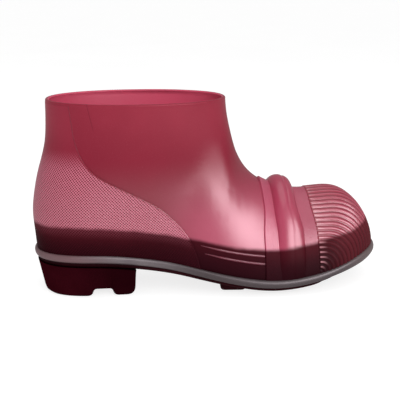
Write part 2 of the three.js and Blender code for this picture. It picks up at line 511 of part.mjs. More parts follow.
for (const [name, g, look] of list) {
  g.deleteAttribute("normal");
  g.deleteAttribute("uv");
  g.computeBoundingBox();
  whole.union(g.boundingBox);
  const mesh = new THREE.Mesh(g, new THREE.MeshStandardMaterial(look));
  mesh.name = name;
  group.add(mesh);
}
// the origin is the bottom centre of the boot's box
const cx = (whole.min.x + whole.max.x) / 2, cy = (whole.min.y + whole.max.y) / 2;
for (const m of group.children) m.geometry.translate(-cx, -cy, -whole.min.z);

export default group;
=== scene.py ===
import bpy, math
import numpy as np
from mathutils import Vector, Matrix


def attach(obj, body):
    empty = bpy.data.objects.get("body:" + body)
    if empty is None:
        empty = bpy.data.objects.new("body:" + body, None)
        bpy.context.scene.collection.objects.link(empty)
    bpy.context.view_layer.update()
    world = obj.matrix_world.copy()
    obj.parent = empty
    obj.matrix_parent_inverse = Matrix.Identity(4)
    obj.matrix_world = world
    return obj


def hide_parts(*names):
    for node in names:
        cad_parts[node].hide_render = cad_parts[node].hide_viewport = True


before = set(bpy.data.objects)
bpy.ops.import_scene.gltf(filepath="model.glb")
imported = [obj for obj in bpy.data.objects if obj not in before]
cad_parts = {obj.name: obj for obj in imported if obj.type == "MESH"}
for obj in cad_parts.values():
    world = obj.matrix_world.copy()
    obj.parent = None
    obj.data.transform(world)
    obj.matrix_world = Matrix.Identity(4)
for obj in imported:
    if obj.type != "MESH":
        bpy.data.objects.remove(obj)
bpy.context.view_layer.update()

# ------------------------------------------------------------------ the last's lines, in millimetres
CX, CY = 133.5413, 0.8561          # where the boot's box is centred, in the layout's coordinates
RIM, WALL, FLOOR, GAP = 145.5, 2.4, 2.2, 0.35
WELT_H, PLATE, BOARD, FOAM, COVER = 5.8, 3.2, 1.5, 4.5, 0.8


class Spline:
    """natural cubic spline, straight outside its knots"""
    def __init__(s, x, y):
        x = np.asarray(x, float); y = np.asarray(y, float); n = len(x)
        h = np.diff(x); al = np.zeros(n)
        for i in range(1, n - 1):
            al[i] = 3 * ((y[i + 1] - y[i]) / h[i] - (y[i] - y[i - 1]) / h[i - 1])
        l = np.ones(n); mu = np.zeros(n); z = np.zeros(n)
        for i in range(1, n - 1):
            l[i] = 2 * (x[i + 1] - x[i - 1]) - h[i - 1] * mu[i - 1]
            mu[i] = h[i] / l[i]
            z[i] = (al[i] - h[i - 1] * z[i - 1]) / l[i]
        c = np.zeros(n); b = np.zeros(n - 1); d = np.zeros(n - 1)
        for j in range(n - 2, -1, -1):
            c[j] = z[j] - mu[j] * c[j + 1]
            b[j] = (y[j + 1] - y[j]) / h[j] - h[j] * (c[j + 1] + 2 * c[j]) / 3
            d[j] = (c[j + 1] - c[j]) / (3 * h[j])
        s.x, s.y, s.b, s.c, s.d = x, y, b, c, d
        s.me = b[-1] + h[-1] * (2 * c[-2] + 3 * d[-1] * h[-1])

    def __call__(s, t):
        t = np.asarray(t, float)
        i = np.clip(np.searchsorted(s.x, t, side="right") - 1, 0, len(s.x) - 2)
        u = t - s.x[i]
        r = s.y[i] + u * (s.b[i] + u * (s.c[i] + u * s.d[i]))
        r = np.where(t < s.x[0], s.y[0] + (t - s.x[0]) * s.b[0], r)
        return np.where(t > s.x[-1], s.y[-1] + (t - s.x[-1]) * s.me, r)


ZF = Spline([0, 30, 55, 77, 99, 121, 140, 159, 175, 190, 205, 217, 233, 250, 266],
            [28.0, 28.3, 27.2, 24.4, 20.6, 15.8, 11.6, 8.3, 6.8, 7.1, 8.8, 11.0, 14.6, 19.0, 22.0])
XB = Spline([24, 34, 45, 53.5, 61, 67.6, 74, 83, 91, 97, 106, 113, 126, 137, 146],
            [4.0, 2.4, 1.5, 0.8, 0.5, 0.9, 1.8, 3.5, 5.4, 7.1, 9.4, 10.8, 12.1, 12.5, 12.6])
FRONT = np.array([(145.1, 145.5), (146.3, 134), (149.2, 120), (153.0, 106.5), (157.2, 97), (163.4, 88.2), (172, 81.2), (182, 76.2),
                  (192, 72.8), (203, 71.0), (215, 71.3), (227, 71.4), (237, 69.1), (245.6, 63.8), (252.8, 56.0), (258.6, 46), (262.0, 36.5), (263.8, 27.5)])
arc = np.concatenate([[0], np.cumsum(np.hypot(*np.diff(FRONT, axis=0).T))])
_fx, _fz = Spline(arc, FRONT[:, 0]), Spline(arc, FRONT[:, 1])
TT = np.linspace(0, 1, 4001)
TX, TZ = _fx(TT * arc[-1]), _fz(TT * arc[-1])
XTIP = float(TX[-1])
_i = int(np.argmax(TZ < 80))
_zs, _xs = TZ[:_i][::-1], TX[:_i][::-1]
_k = (_xs[1] - _xs[0]) / (_zs[1] - _zs[0])


def z_top(x):
    x = np.asarray(x, float)
    return np.where(x < TX[0], TZ[0] + (TX[0] - x) * 12, np.interp(x, TX, TZ))


def x_front(z):
    z = np.asarray(z, float)
    d = np.clip(_zs[0] - z, 0, None); A = 258 - _xs[0]
    return np.where(z < _zs[0], _xs[0] + A * (1 - np.exp(_k * d / A)), np.interp(z, _zs, _xs))


_tz, _tx = TZ[2800:][::-1], TX[2800:][::-1]
x_toe = lambda z: np.interp(z, _tz, _tx)
BL = Spline([24, 34, 45, 60, 80, 100, 120, 145.5], [30.0, 32.6, 35.0, 37.2, 39.2, 41.2, 43.4, 46.0])
XM = Spline([24, 45, 60, 80, 100, 120, 145.5], [44, 46, 50, 57, 65, 72, 79])
_wx = [40, 70, 100, 130, 150, 170, 185, 200, 215, 262]
WL = Spline(_wx, [35, 34.6, 35.6, 39.6, 42.8, 45.2, 45.8, 45.4, 44.0, 40.0])
WM = Spline(_wx, [35, 33.4, 32.2, 35.0, 38.8, 42.6, 44.8, 45.6, 45.0, 41.0])
YC = Spline([0, 60, 120, 180, 230, 264], [0, 0, 0, 0.5, 2.5, 5.0])
P = 2.15
LAT, MED = -1, 1


def smooth(a, b, x):
    t = np.clip((np.asarray(x, float) - a) / (b - a), 0, 1)
    return t * t * (3 - 2 * t)


# the vamp's section is more peaked than the shaft's and fills out again over the toes
PV = lambda x: P - 0.53 * smooth(98, 162, x) + 0.38 * smooth(216, 246, x)
ZCF = lambda x: 15 - 11 * smooth(98, 162, x) + 8 * smooth(216, 246, x)


def half_width(x, z, side):
    """the section's half width, eased along the boot where the shaft turns into the vamp"""
    x, z = np.broadcast_arrays(np.asarray(x, float), np.asarray(z, float))
    r = np.minimum(13 * smooth(108, 128, x) * (1 - smooth(170, 188, x)), 0.45 * np.maximum(x_front(z) - x, 0))
    return sum(w * plain_width(x + k * r, z, side) for k, w in ((-1, 0.12), (-0.5, 0.23), (0, 0.3), (0.5, 0.23), (1, 0.12)))


def plain_width(x, z, side):
    u = np.clip((x - 204) / (XTIP - 204), 0, 1)
    W = (WL if side < 0 else WM)(x) * (1 - u ** 2.35) ** (1 / 2.1)
    zf, zt = ZF(x), z_top(x)
    zc = zf + np.minimum(ZCF(x), 0.42 * np.maximum(zt - zf, 0.01)); pv = PV(x)
    e = np.clip((z - zc) / np.maximum(zt - zc, 1e-6), 0, 1)
    yf = W * np.where(z > zc, (1 - e ** pv) ** (1 / pv), np.sqrt(np.clip(1 - (np.clip(zc - z, 0, None) / 38) ** 2, 0, 1)))
    xm, xb, xf = XM(z), XB(z), x_front(z)
    xi = np.clip(np.where(x < xm, (xm - x) / (xm - xb), (x - xm) / (xf - xm)), 0, 1)
    ys = BL(z) * (1.0 if side < 0 else 0.985) * (1 - xi ** P) ** (1 / P)
    l = 60 + np.clip(z - 60, 0, None) * 1.2
    s = smooth(l, l + 70, x)
    return (1 - s) * ys + s * yf


def at(x, z, side):
    x, z = np.broadcast_arrays(np.asarray(x, float), np.asarray(z, float))
    return np.stack([x, YC(x) + side * half_width(x, z, side), z], -1)


def centre(P3):
    P3[..., 1] = YC(P3[..., 0])
    return P3


def cosine(n):
    return (1 - np.cos(np.pi * np.linspace(0, 1, n))) / 2


def coons(u, m, f, b, top, bottom):
    """u (R,) down the rows, m (R,C) across; f, b give (x,z) down the front and back edges"""
    F, B = f(u)[:, None], b(u)[:, None]
    R, E = top(m), bottom(m)
    U, M = u[:, None, None], m[..., None]
    f0, f1, b0, b1 = f(np.array([0.0]))[0], f(np.array([1.0]))[0], b(np.array([0.0]))[0], b(np.array([1.0]))[0]
    return (1 - M) * F + M * B + (1 - U) * R + U * E - ((1 - U) * (1 - M) * f0 + (1 - U) * M * b0 + U * (1 - M) * f1 + U * M * b1)


def normals(G, wrap, at_back=False):
    Gu = np.empty_like(G)
    Gu[1:-1] = G[2:] - G[:-2]; Gu[0] = G[1] - G[0]; Gu[-1] = G[-1] - G[-2]
    if wrap:
        Gv = np.roll(G, -1, 1) - np.roll(G, 1, 1)
    else:
        Gv = np.empty_like(G)
        Gv[:, 1:-1] = G[:, 2:] - G[:, :-2]; Gv[:, 0] = G[:, 1] - G[:, 0]; Gv[:, -1] = G[:, -1] - G[:, -2]
    N = np.cross(Gu, Gv)
    N /= np.maximum(np.linalg.norm(N, axis=-1, keepdims=True), 1e-12)
    i, j = G.shape[0] // 2, G.shape[1] // 4
    if N[i, j, 1] * (G[i, j, 1] - YC(G[i, j, 0])) < 0:
        N = -N
    return N


def level(V):
    """horizontal part of the normals, unit length"""
    H = V * np.array([1, 1, 0.0])
    return H / np.maximum(np.linalg.norm(H, axis=-1, keepdims=True), 1e-9)


# ------------------------------------------------------------------ meshes
def row_frame(V):
    return (np.asarray(V, float).reshape(-1, 3) - np.array([CX, CY, 0])) * 0.001


def make(name, V, F, attrs=None, flip_check=True):
    V = np.asarray(V, float).reshape(-1, 3)
    F = [tuple(dict.fromkeys(int(i) for i in f)) for f in F]
    F = [f for f in F if len(f) > 2]
    W = row_frame(V)
    if flip_check:
        vol = 0.0
        tri = np.array([t for f in F for t in ((f[0], f[k], f[k + 1]) for k in range(1, len(f) - 1))])
        a, b, c = W[tri[:, 0]], W[tri[:, 1]], W[tri[:, 2]]
        vol = np.einsum("ij,ij->i", a, np.cross(b, c)).sum()
        if vol < 0:
            F = [f[::-1] for f in F]
    me = bpy.data.meshes.new(name)
    me.from_pydata(W.tolist(), [], F)
    me.validate()
    me.update()
    me.polygons.foreach_set("use_smooth", np.ones(len(me.polygons), bool))
    for k, a in (attrs or {}).items():
        at_ = me.attributes.new(k, "FLOAT", "POINT")
        at_.data.foreach_set("value", np.asarray(a, np.float32).ravel())
    ob = bpy.data.objects.new(name, me)
    bpy.context.scene.collection.objects.link(ob)
    return ob


def quads(R, C, wrap, base=0, flip=False):
    i, j = np.meshgrid(np.arange(R - 1), np.arange(C if wrap else C - 1), indexing="ij")
    k = (j + 1) % C
    q = np.stack([i * C + j, (i + 1) * C + j, (i + 1) * C + k, i * C + k], -1).reshape(-1, 4) + base
    return q[:, ::-1] if flip else q


def two_faced(A, B, wrap=False):
    """closed sheet between the grids A and B"""
    R, C = A.shape[:2]
    V = np.concatenate([A.reshape(-1, 3), B.reshape(-1, 3)]); o = R * C
    F = [quads(R, C, wrap), quads(R, C, wrap, o, True)]
    j = np.arange(C if wrap else C - 1); k = (j + 1) % C
    F.append(np.stack([j, k, k + o, j + o], -1))
    j2, k2 = j + (R - 1) * C, k + (R - 1) * C
    F.append(np.stack([j2, j2 + o, k2 + o, k2], -1))
    if not wrap:
        i = np.arange(R - 1)
        F.append(np.stack([i * C, i * C + o, (i + 1) * C + o, (i + 1) * C], -1))
        F.append(np.stack([i * C + C - 1, (i + 1) * C + C - 1, (i + 1) * C + C - 1 + o, i * C + C - 1 + o], -1))
    return V, np.concatenate(F)


def ladder(n, base, flip):
    h = n // 2; F = []
    o = lambda k: (n - k) % n
    for k in range(h):
        f = (base + k, base + k + 1, base + o(k + 1), base + o(k))
        F.append(f[::-1] if flip else f)
    return F


def tube_of(loops, caps=True, closed=False):
    """loops (S,n,3): a skin through the loops; caps closes its ends, closed joins the last loop to the first"""
    L = np.asarray(loops); S, n = L.shape[:2]
    F = [tuple(q) for q in quads(S, n, True)]
    if closed:
        j = np.arange(n); k = (j + 1) % n
        F += [tuple(q) for q in np.stack([(S - 1) * n + j, j, k, (S - 1) * n + k], -1)]
    elif caps:
        F += ladder(n, 0, False) + ladder(n, (S - 1) * n, True)
    return L.reshape(-1, 3), F


def outline(h, out, dz=0.0, n=110):
    xbk, xfr = XB(ZF(3.0) + h), x_toe(ZF(XTIP) + h)
    x = xfr + (xbk - xfr) * cosine(n)
    z = ZF(x) + h
    L, M = at(x, z, LAT), at(x, z, MED)
    for k in (0, -1):
        L[k] = M[k] = (x[k], YC(x[k]), z[k])
    loop = np.concatenate([L, M[1:-1][::-1]])
    t = level(np.roll(loop, -1, 0) - np.roll(loop, 1, 0))
    nr = np.stack([t[:, 1], -t[:, 0], 0 * t[:, 0]], -1)
    s = np.sign((nr[:, 0] * (loop[:, 0] - 120) + nr[:, 1] * loop[:, 1] * 3).sum())
    o = out(loop[:, 0])[:, None] if callable(out) else out
    q = loop + nr * s * o
    q[:, 2] = ZF(q[:, 0]) + h + (dz(q[:, 0]) if callable(dz) else dz)
    return q


def with_z(loop, f):
    q = loop.copy(); q[:, 2] = f(q[:, 0]); return q


z_welt = lambda x: ZF(x) + WELT_H            # the welt's top

# arc length round the back, for the knurl: a table over height and place
_kz = np.linspace(20, 150, 66); _kt = np.linspace(0, 1, 160)
_S = {}
for side in (LAT, MED):
    rows = []
    for z in _kz:
        xb = float(XB(z)); x = xb + (140 - xb) * _kt ** 2
        p = at(x, np.full_like(x, z), side)
        p[0, 1] = 0
        rows.append(np.concatenate([[0], np.cumsum(np.hypot(np.diff(p[:, 0]), np.diff(p[:, 1])))]))
    _S[side] = np.array(rows)


def round_arc(Pt, side):
    z = Pt[..., 2]; xb = XB(z)
    t = np.sqrt(np.clip((Pt[..., 0] - xb) / (140 - xb), 0, 1)) * (len(_kt) - 1)
    a = np.clip((z - _kz[0]) / (_kz[1] - _kz[0]), 0, len(_kz) - 1.001)
    i, j = a.astype(int), np.clip(t.astype(int), 0, len(_kt) - 2)
    fa, ft = a - i, t - j
    T = _S[side]
    return side * ((1 - fa) * ((1 - ft) * T[i, j] + ft * T[i, j + 1]) + fa * ((1 - ft) * T[i + 1, j] + ft * T[i + 1, j + 1]))


def lift(P3):
    """height above the welt, mm"""
    return P3[..., 2] - z_welt(P3[..., 0])


# ------------------------------------------------------------------ upper shell
def upper_grid(nu, n, low, top=RIM):
    t0 = float(np.interp(-top, -TZ[:900], TT[:900]))
    zt = ZF(XTIP) + low
    t1 = float(TT[np.max(np.nonzero(TZ >= zt)[0])])
    f = lambda u: np.stack([np.interp(t0 + (t1 - t0) * u, TT, TX), np.interp(t0 + (t1 - t0) * u, TT, TZ)], -1)
    zb = ZF(3.0) + low
    b = lambda u: np.stack([XB(top + (zb - top) * u), top + (zb - top) * u], -1)
    f0, f1, b0, b1 = f(np.array([0.0]))[0], f(np.array([1.0]))[0], b(np.array([0.0]))[0], b(np.array([1.0]))[0]
    tp = lambda m: f0 + (b0 - f0) * m[..., None]

    def bt(m):
        x = f1[0] + (b1[0] - f1[0]) * m
        e = np.stack([x, ZF(x) + low], -1)
        e[..., 0, :] = f1; e[..., -1, :] = b1
        return e
    u = np.linspace(0, 1, nu); m = np.repeat(cosine(n)[None], nu, 0)
    G = coons(u, m, f, b, tp, bt)
    L, M = at(G[..., 0], G[..., 1], LAT), at(G[..., 0], G[..., 1], MED)
    for k in (0, -1):
        L[:, k] = centre(L[:, k])
    return np.concatenate([L, M[:, 1:-1][:, ::-1]], 1)


NC = 130
LIP_R = 1.2
out = upper_grid(150, NC, 0.0, RIM - LIP_R)
inn = upper_grid(60, NC, FLOOR, RIM - LIP_R)
nout, ninn = normals(out, True), normals(inn, True)
inner = inn - ninn * WALL
inner[-1] = inn[-1] - level(ninn[-1]) * WALL
inner[-1, :, 2] = ZF(inner[-1, :, 0]) + FLOOR
N0 = level(nout[0]); mid = out[0] - N0 * LIP_R
lip = []
for a in np.linspace(math.pi, 0, 13)[1:-1]:
    r = LIP_R + 0.22 * math.sin(a)
    lip.append(mid + N0 * math.cos(a) * (r + 0.12) + np.array([0, 0, 1.0]) * math.sin(a) * r)
# the bead just under the lip on the outside is left flat: its height is zero all round
bead = np.zeros(out.shape[0]); 
G = np.concatenate([inner[::-1], np.array(lip), out + nout * bead[:, None, None]])
R, C = G.shape[:2]
F = [tuple(q) for q in quads(R, C, True)] + ladder(C, 0, True) + ladder(C, (R - 1) * C, False)
inside = np.zeros((R, C)); inside[:inner.shape[0] + 4] = 1
upper = make("upper_shell_fine", G, F, {"hw": lift(G), "inside": inside, "mz": G[..., 2], "mx": G[..., 0]})

# ------------------------------------------------------------------ heel counter, laid over the back
SWOOSH = Spline([22, 38.7, 46.5, 54.3, 62.1, 70.7, 77.8, 85.6, 91, 97, 106.5, 113.6, 122.1, 132.5, 141.5, 147],
                [122, 117, 113.3, 107.5, 100.3, 90.0, 78.0, 63.7, 54.0, 45.5, 38.0, 34.8, 32.7, 31.4, 30.3, 29.4])
zsw = 28.0
for _ in range(60):
    zsw = float(z_welt(SWOOSH(zsw)) - 0.3)
ZT = RIM - 1.6
nr_, nc_ = 130, 92
f = lambda u: np.stack([SWOOSH(ZT + (zsw - ZT) * u), ZT + (zsw - ZT) * u], -1)
zb = float(z_welt(2.5)) - 0.3
b = lambda u: np.stack([XB(ZT + (zb - ZT) * u), ZT + (zb - ZT) * u], -1)
f0, f1, b0, b1 = f(np.array([0.0]))[0], f(np.array([1.0]))[0], b(np.array([0.0]))[0], b(np.array([1.0]))[0]
tp = lambda m: f0 + (b0 - f0) * m[..., None]


def bt(m):
    x = f1[0] + (b1[0] - f1[0]) * m
    e = np.stack([x, z_welt(x) - 0.3], -1)
    e[..., -1, :] = b1
    return e


u = np.concatenate([[0, 0.002, 0.005, 0.009], np.linspace(0.014, 1, nr_ - 4)])
wid = (f(u)[:, 0] - b(u)[:, 0])[:, None]
# slope of the edge makes the sheet's rim wider across than along
EDGE = np.array([0, 0.12, 0.3, 0.55, 0.85, 1.2, 1.7])
sl = np.gradient(f(u)[:, 0], f(u)[:, 1]); cosb = np.sqrt(1 + sl ** 2)[:, None]
m0 = np.minimum(EDGE[None] * cosb / wid, 0.5)
rest = np.sin(np.linspace(0, np.pi / 2, nc_ - len(EDGE) + 1))[1:]
m = np.concatenate([m0, m0[:, -1:] + (1 - m0[:, -1:]) * rest[None]], 1)
G = coons(u, m, f, b, tp, bt)
L, M = at(G[..., 0], G[..., 1], LAT), at(G[..., 0], G[..., 1], MED)
L[:, -1] = centre(L[:, -1])
cg = np.concatenate([L, M[:, :-1][:, ::-1]], 1)
cn = normals(cg, False)
d_edge = np.minimum(m * wid / cosb, 30)
quarter = lambda d, r: np.sqrt(np.clip(1 - (1 - np.clip(d / r, 0, 1)) ** 2, 0, 1))
low = smooth(118, 92, L[..., 2])
thick = (0.24 + 0.72 * low) * quarter(d_edge, 0.7)
# the edge is a slightly raised, rounded welt low down and only a fine parting line on the shaft
thick = thick + 0.20 * low * np.exp(-((d_edge - 1.0) / 0.75) ** 2)
thick = thick * quarter(np.clip((u * (ZT - zsw))[:, None], 0, None) + 0.0, 0.9)
thick = np.where(thick < 1e-9, 0, thick) - 0.18 * (thick < 1e-9)
thick = np.concatenate([thick, thick[:, :-1][:, ::-1]], 1)
# mask for the painted shade along the counter's edge
seam_shade = np.exp(-(np.concatenate([d_edge, d_edge[:, :-1][:, ::-1]], 1) / 0.42) ** 2)
lowc = np.concatenate([low, low[:, :-1][:, ::-1]], 1)
side_s = np.concatenate([round_arc(L, LAT), round_arc(M[:, :-1], MED)[:, ::-1]], 1)
dknurl = np.concatenate([d_edge, d_edge[:, :-1][:, ::-1]], 1)
V, F = two_faced(cg + cn * thick[..., None], cg - cn * 0.3)
dbl = lambda a: np.concatenate([a.ravel(), a.ravel()])
counter = make("heel_counter_fine", V, F, {"hw": dbl(lift(cg)), "inside": np.zeros(len(V)), "mz": dbl(cg[..., 2]), "mx": dbl(cg[..., 0]), "ks": dbl(side_s), "kd": dbl(dknurl), "seam_shade": dbl(seam_shade * (1 - 0.75 * lowc))})


# ------------------------------------------------------------------ bands and roll across the instep
over = lambda x: np.interp(x, [170, 180, 201, 211], [2.0, -1.0, -3.2, -2.2])      # how far each station leans forward over the top
lean = lambda x, z: over(x) * smooth(44, 64, z)


def arch(name, x0, x1, prof, half=110, lift0=0.0):
    """prof: list of (place 0..1 across the band, height function of z)"""
    xs = np.array([x0 + (x1 - x0) * p for p, _ in prof])
    s = np.linspace(0, 1, half + 1)
    rows = []
    for x in xs:
        z0, zt = float(z_welt(x)) - 0.3, float(z_top(x + over(x))); zc = float(ZF(x)) + 15
        z = np.where(s < 0.2, z0 + (zc - z0) * s / 0.2, zc + (zt - zc) * np.sin(np.clip((s - 0.2) / 0.8, 0, 1) * np.pi / 2))
        L, M = at(x + lean(x, z), z, LAT), at(x + lean(x, z), z, MED)
        L[-1] = (x + over(x), YC(x + over(x)), zt)
        rows.append(np.concatenate([L, M[:-1][::-1]]))
    G = np.array(rows); N = normals(G, False)
    N[:, 0] = level(N[:, 0]); N[:, -1] = level(N[:, -1])
    H = np.array([[h(p, i) for p in row] if callable(h) else np.full(G.shape[1], h) for i, (row, (_, h)) in enumerate(zip(G, prof))], dtype=object)
    H = np.array(H.tolist(), float)
    A, B = G + N * H[..., None], G - N * 0.35
    V, F = two_faced(A, B)
    sarc = np.concatenate([[0], np.cumsum(np.linalg.norm(np.diff(G[len(G) // 2], axis=0), axis=1))])
    return make(name, V, F, {"hw": dbl(lift(G)), "inside": np.zeros(len(V)), "mz": dbl(G[..., 2]), "mx": dbl(G[..., 0]), "ks": dbl(np.repeat(sarc[None], len(G), 0))}), G


def flat_profile(w, T, r=0.55):
    """places and heights of a flat strip with rounded edges, w mm wide"""
    e = [0, 0.03, 0.1, 0.22, 0.4, 0.62, 0.9]
    ps = [(d / w, T * math.sqrt(max(0, 1 - (1 - min(d / r, 1)) ** 2)) if d else -0.2) for d in e]
    inner_ = [(p, T) for p in np.linspace(0, 1, 9)[1:-1]]
    return ps + inner_ + [(1 - p, h) for p, h in ps[::-1]]


BAND1, ROLL, BAND2 = (170.0, 182.4), (180.3, 201.3), (199.4, 211.8)
band1, _ = arch("instep_band_fine", *BAND1, flat_profile(BAND1[1] - BAND1[0], 1.35))
band2, _ = arch("toe_band_fine", *BAND2, flat_profile(BAND2[1] - BAND2[0], 1.2))


def roll_h(e):
    def h(p, i):
        up = float(smooth(26, 68, p[2])); lw = float(smooth(10, 34, p[2]))
        H = (1.5 + 2.5 * lw) * (1 - up) + 8.6 * up
        # full crown with a steep foot on both sides, and a faint groove off the crown
        s = math.sqrt(max(0.0, 1 - abs(e) ** 2.3))
        return 0.15 + H * s - 0.55 * math.exp(-((e - 0.02) / 0.10) ** 2) * (0.45 + 0.55 * up)
    return h


rp = [((1 + e) / 2, roll_h(e)) for e in np.sin(np.linspace(-np.pi / 2, np.pi / 2, 41))]
rp[0] = (0.0, -0.2); rp[-1] = (1.0, -0.2)
roll, _ = arch("instep_roll_fine", *ROLL, rp)

# ------------------------------------------------------------------ toe cap with its fine ribs
CAP_X = 210.7
RIBS = 21                    # ribs from the welt corner to the middle line
RIB_H = 0.75
PHI, SUB = 84, 9
cx0, cz0 = CAP_X, float(z_welt(CAP_X)) - 0.3
i0 = int(np.argmax(TX > CAP_X)); i1 = int(np.max(np.nonzero(TZ >= z_welt(TX) - 0.3)[0]))
pr = np.linspace(0, 1, PHI)
ex = np.interp(i0 + (i1 - i0) * pr, np.arange(len(TX)), TX); ez = np.interp(i0 + (i1 - i0) * pr, np.arange(len(TX)), TZ)
ex[0], ez[0] = CAP_X, float(z_top(CAP_X))
fine = np.sin(np.linspace(0, np.pi / 2, 500))
nth = RIBS * SUB + 1
halves = []
for side in (LAT, MED):
    G = np.empty((PHI, nth, 3)); S_ = np.empty((PHI, nth))
    for i in range(PHI):
        x = cx0 + fine * (ex[i] - cx0); z = cz0 + fine * (ez[i] - cz0)
        z = np.maximum(z, z_welt(x) - 0.3)
        if i == PHI - 1:
            z = z_welt(x) - 0.3
        near = np.clip(1 - (x - CAP_X) / 25, 0, None)
        x = x + lean(CAP_X, z) * near
        z = np.where(near > 0, np.minimum(z, z_top(x)), z)
        if near[-1] > 0:
            z[-1] = z_top(x[-1])
        p = at(x, z, side)
        p[-1] = (x[-1], YC(x[-1]), z[-1])
        s = np.concatenate([[0], np.cumsum(np.linalg.norm(np.diff(p, axis=0), axis=1))])
        t = np.linspace(0, s[-1], nth)
        G[i] = np.stack([np.interp(t, s, p[:, k]) for k in range(3)], -1)
        S_[i] = t
    halves.append(G)
cap = np.concatenate([halves[0], halves[1][:, :-1][:, ::-1]], 1)
tn = normals(cap, False)
tn[:, 0] = (0, -1, 0); tn[:, -1] = (0, 1, 0)
tn[0] = tn[0] * np.array([0, 1, 1.0]); tn[0] /= np.linalg.norm(tn[0], axis=-1, keepdims=True)
tn[-1] = level(tn[-1])
th = np.linspace(0, 1, nth); th = np.concatenate([th, th[:-1][::-1]])
ph = np.linspace(0, 1, PHI)[:, None]
wave = 0.5 - 0.5 * np.cos(2 * np.pi * RIBS * th)
rib = wave[None] ** 0.8
# distance from the rear edge and from the welt, in mm, along the surface
dr = np.linalg.norm(cap - cap[0:1], axis=-1)
dw = lift(cap) + 0.3
fade = smooth(0.3, 1.6, dr) * smooth(0.0, 0.06, np.minimum(th, 1)[None])
top_calm = 1 - 0.35 * smooth(0.90, 1.0, th)[None]
edge = quarter(dr, 0.8)
base_t = 1.25 * np.where(np.arange(PHI)[:, None] == 0, 0, 1) * edge
H = base_t + RIB_H * rib * fade * top_calm
H[0] = -0.2
V, F = two_faced(cap + tn * H[..., None], cap - tn * 0.35)
toe = make("toe_cap_fine", V, F, {"hw": dbl(lift(cap)), "inside": np.zeros(len(V)), "mz": dbl(cap[..., 2]), "mx": dbl(cap[..., 0]), "rib": dbl(rib * fade), "rd": dbl(dr)})


# ------------------------------------------------------------------ side bars
def side_bar(name, side, h0, h1, xa, xb_):
    n, w = 70, 13
    x = np.linspace(xa, xb_, n)
    t = np.linspace(0, 1, n)
    h = h0 + (h1 - h0) * t
    half = 0.95 * (0.35 + 0.65 * smooth(0, 0.35, t)); H = 1.0 * (0.15 + 0.85 * smooth(0, 0.3, t)) * smooth(1.0, 0.985, t)
    v = np.linspace(-1, 1, w)
    G = np.array([at(x, ZF(x) + h + k * half, side) for k in v])
    N = normals(G, False)
    if N[w // 2, n // 2, 1] * side < 0:
        N = -N
    hh = H[None] * np.sqrt(np.clip(1 - np.abs(v) ** 2, 0, 1))[:, None] - 0.12
    V, F = two_faced(G + N * hh[..., None], G - N * 0.4)
    return make(name, V, F, {"hw": dbl(lift(G)), "inside": np.zeros(len(V)), "mz": dbl(G[..., 2]), "mx": dbl(G[..., 0])})


bars = {
    "side_bar_outer_upper": side_bar("side_bar_outer_upper_fine", LAT, 24.4, 23.4, 122, 169.9),
    "side_bar_outer_lower": side_bar("side_bar_outer_lower_fine", LAT, 18.8, 17.8, 125, 169.9),
    "side_bar_inner_upper": side_bar("side_bar_inner_upper_fine", MED, 24.4, 23.4, 125, 169.9),
    "side_bar_inner_lower": side_bar("side_bar_inner_lower_fine", MED, 18.8, 17.8, 128, 169.9)}

# ------------------------------------------------------------------ welt, outsole, heel
prof = [(0.1, 0.0), (0.1, 5.4), (0.35, 5.85), (0.9, 6.0), (1.7, 5.85), (2.4, 5.5), (2.85, 4.9), (3.1, 4.0), (3.2, 3.0), (3.12, 2.0), (2.85, 1.1), (2.4, 0.4), (1.9, 0.0)]
TIP_DROP = 1.9               # round the toe the welt is thicker, comes lower and covers the outsole's edge
tip = lambda x: smooth(222, 252, x)
wl_ = lambda h: (lambda x: -TIP_DROP * tip(x) * max(0.0, 1 - h / 3.6))
wo_ = lambda o, h: (lambda x: o + tip(x) * (0 if o < 0.2 else (0.3 + 0.75 * math.exp(-((h - 2.4) / 2.2) ** 2))))
V, F = tube_of([outline(h, wo_(o, h), wl_(h)) for o, h in prof], caps=False, closed=True)
welt = make("welt_strip_fine", V, F, {"wh": np.repeat([h for _, h in prof], 218), "mx": V[:, 0]})

ob_ = [(-0.6, 0.0), (0.7, 0.0), (0.95, -0.3), (1.0, -1.2), (0.85, -2.4), (0.45, -3.1), (-0.2, -3.5), (-1.4, -3.55)]
plate_in = lambda x: 2.1 * smooth(90, 150, x) + 5 * smooth(208, 230, x)
loops = [with_z(outline(0, -12.0), lambda x: ZF(x) - 0.02)] + [with_z(outline(0, lambda x, o=o: o - plate_in(x)), lambda x, d=d: ZF(x) + d) for o, d in ob_] + [with_z(outline(0, -13.0), lambda x: ZF(x) - 3.55)]
V, F = tube_of(loops)
plate = (V, F)

GROUND = Spline([118, 126, 134, 140, 188, 205, 214, 224, 236, 252], [13.2, 7.6, 2.2, 0.0, 0.0, 1.3, 2.4, 4.4, 7.9, 14.6])
ground = lambda x: np.where((x > 139) & (x < 189), 0, np.maximum(0, GROUND(x)))
groove = [124.5, 159.5, 195.5, 232.0]
bow = lambda y: 9 * (1 - (y / 52) ** 2)


def tread_w(x, side):
    e = np.sqrt(np.clip(1 - np.clip((x - 214) / (245.5 - 214), 0, 1) ** 2.4, 0, 1))
    return ((WL if side < 0 else WM)(x) * 0.76 - 3.0) * e


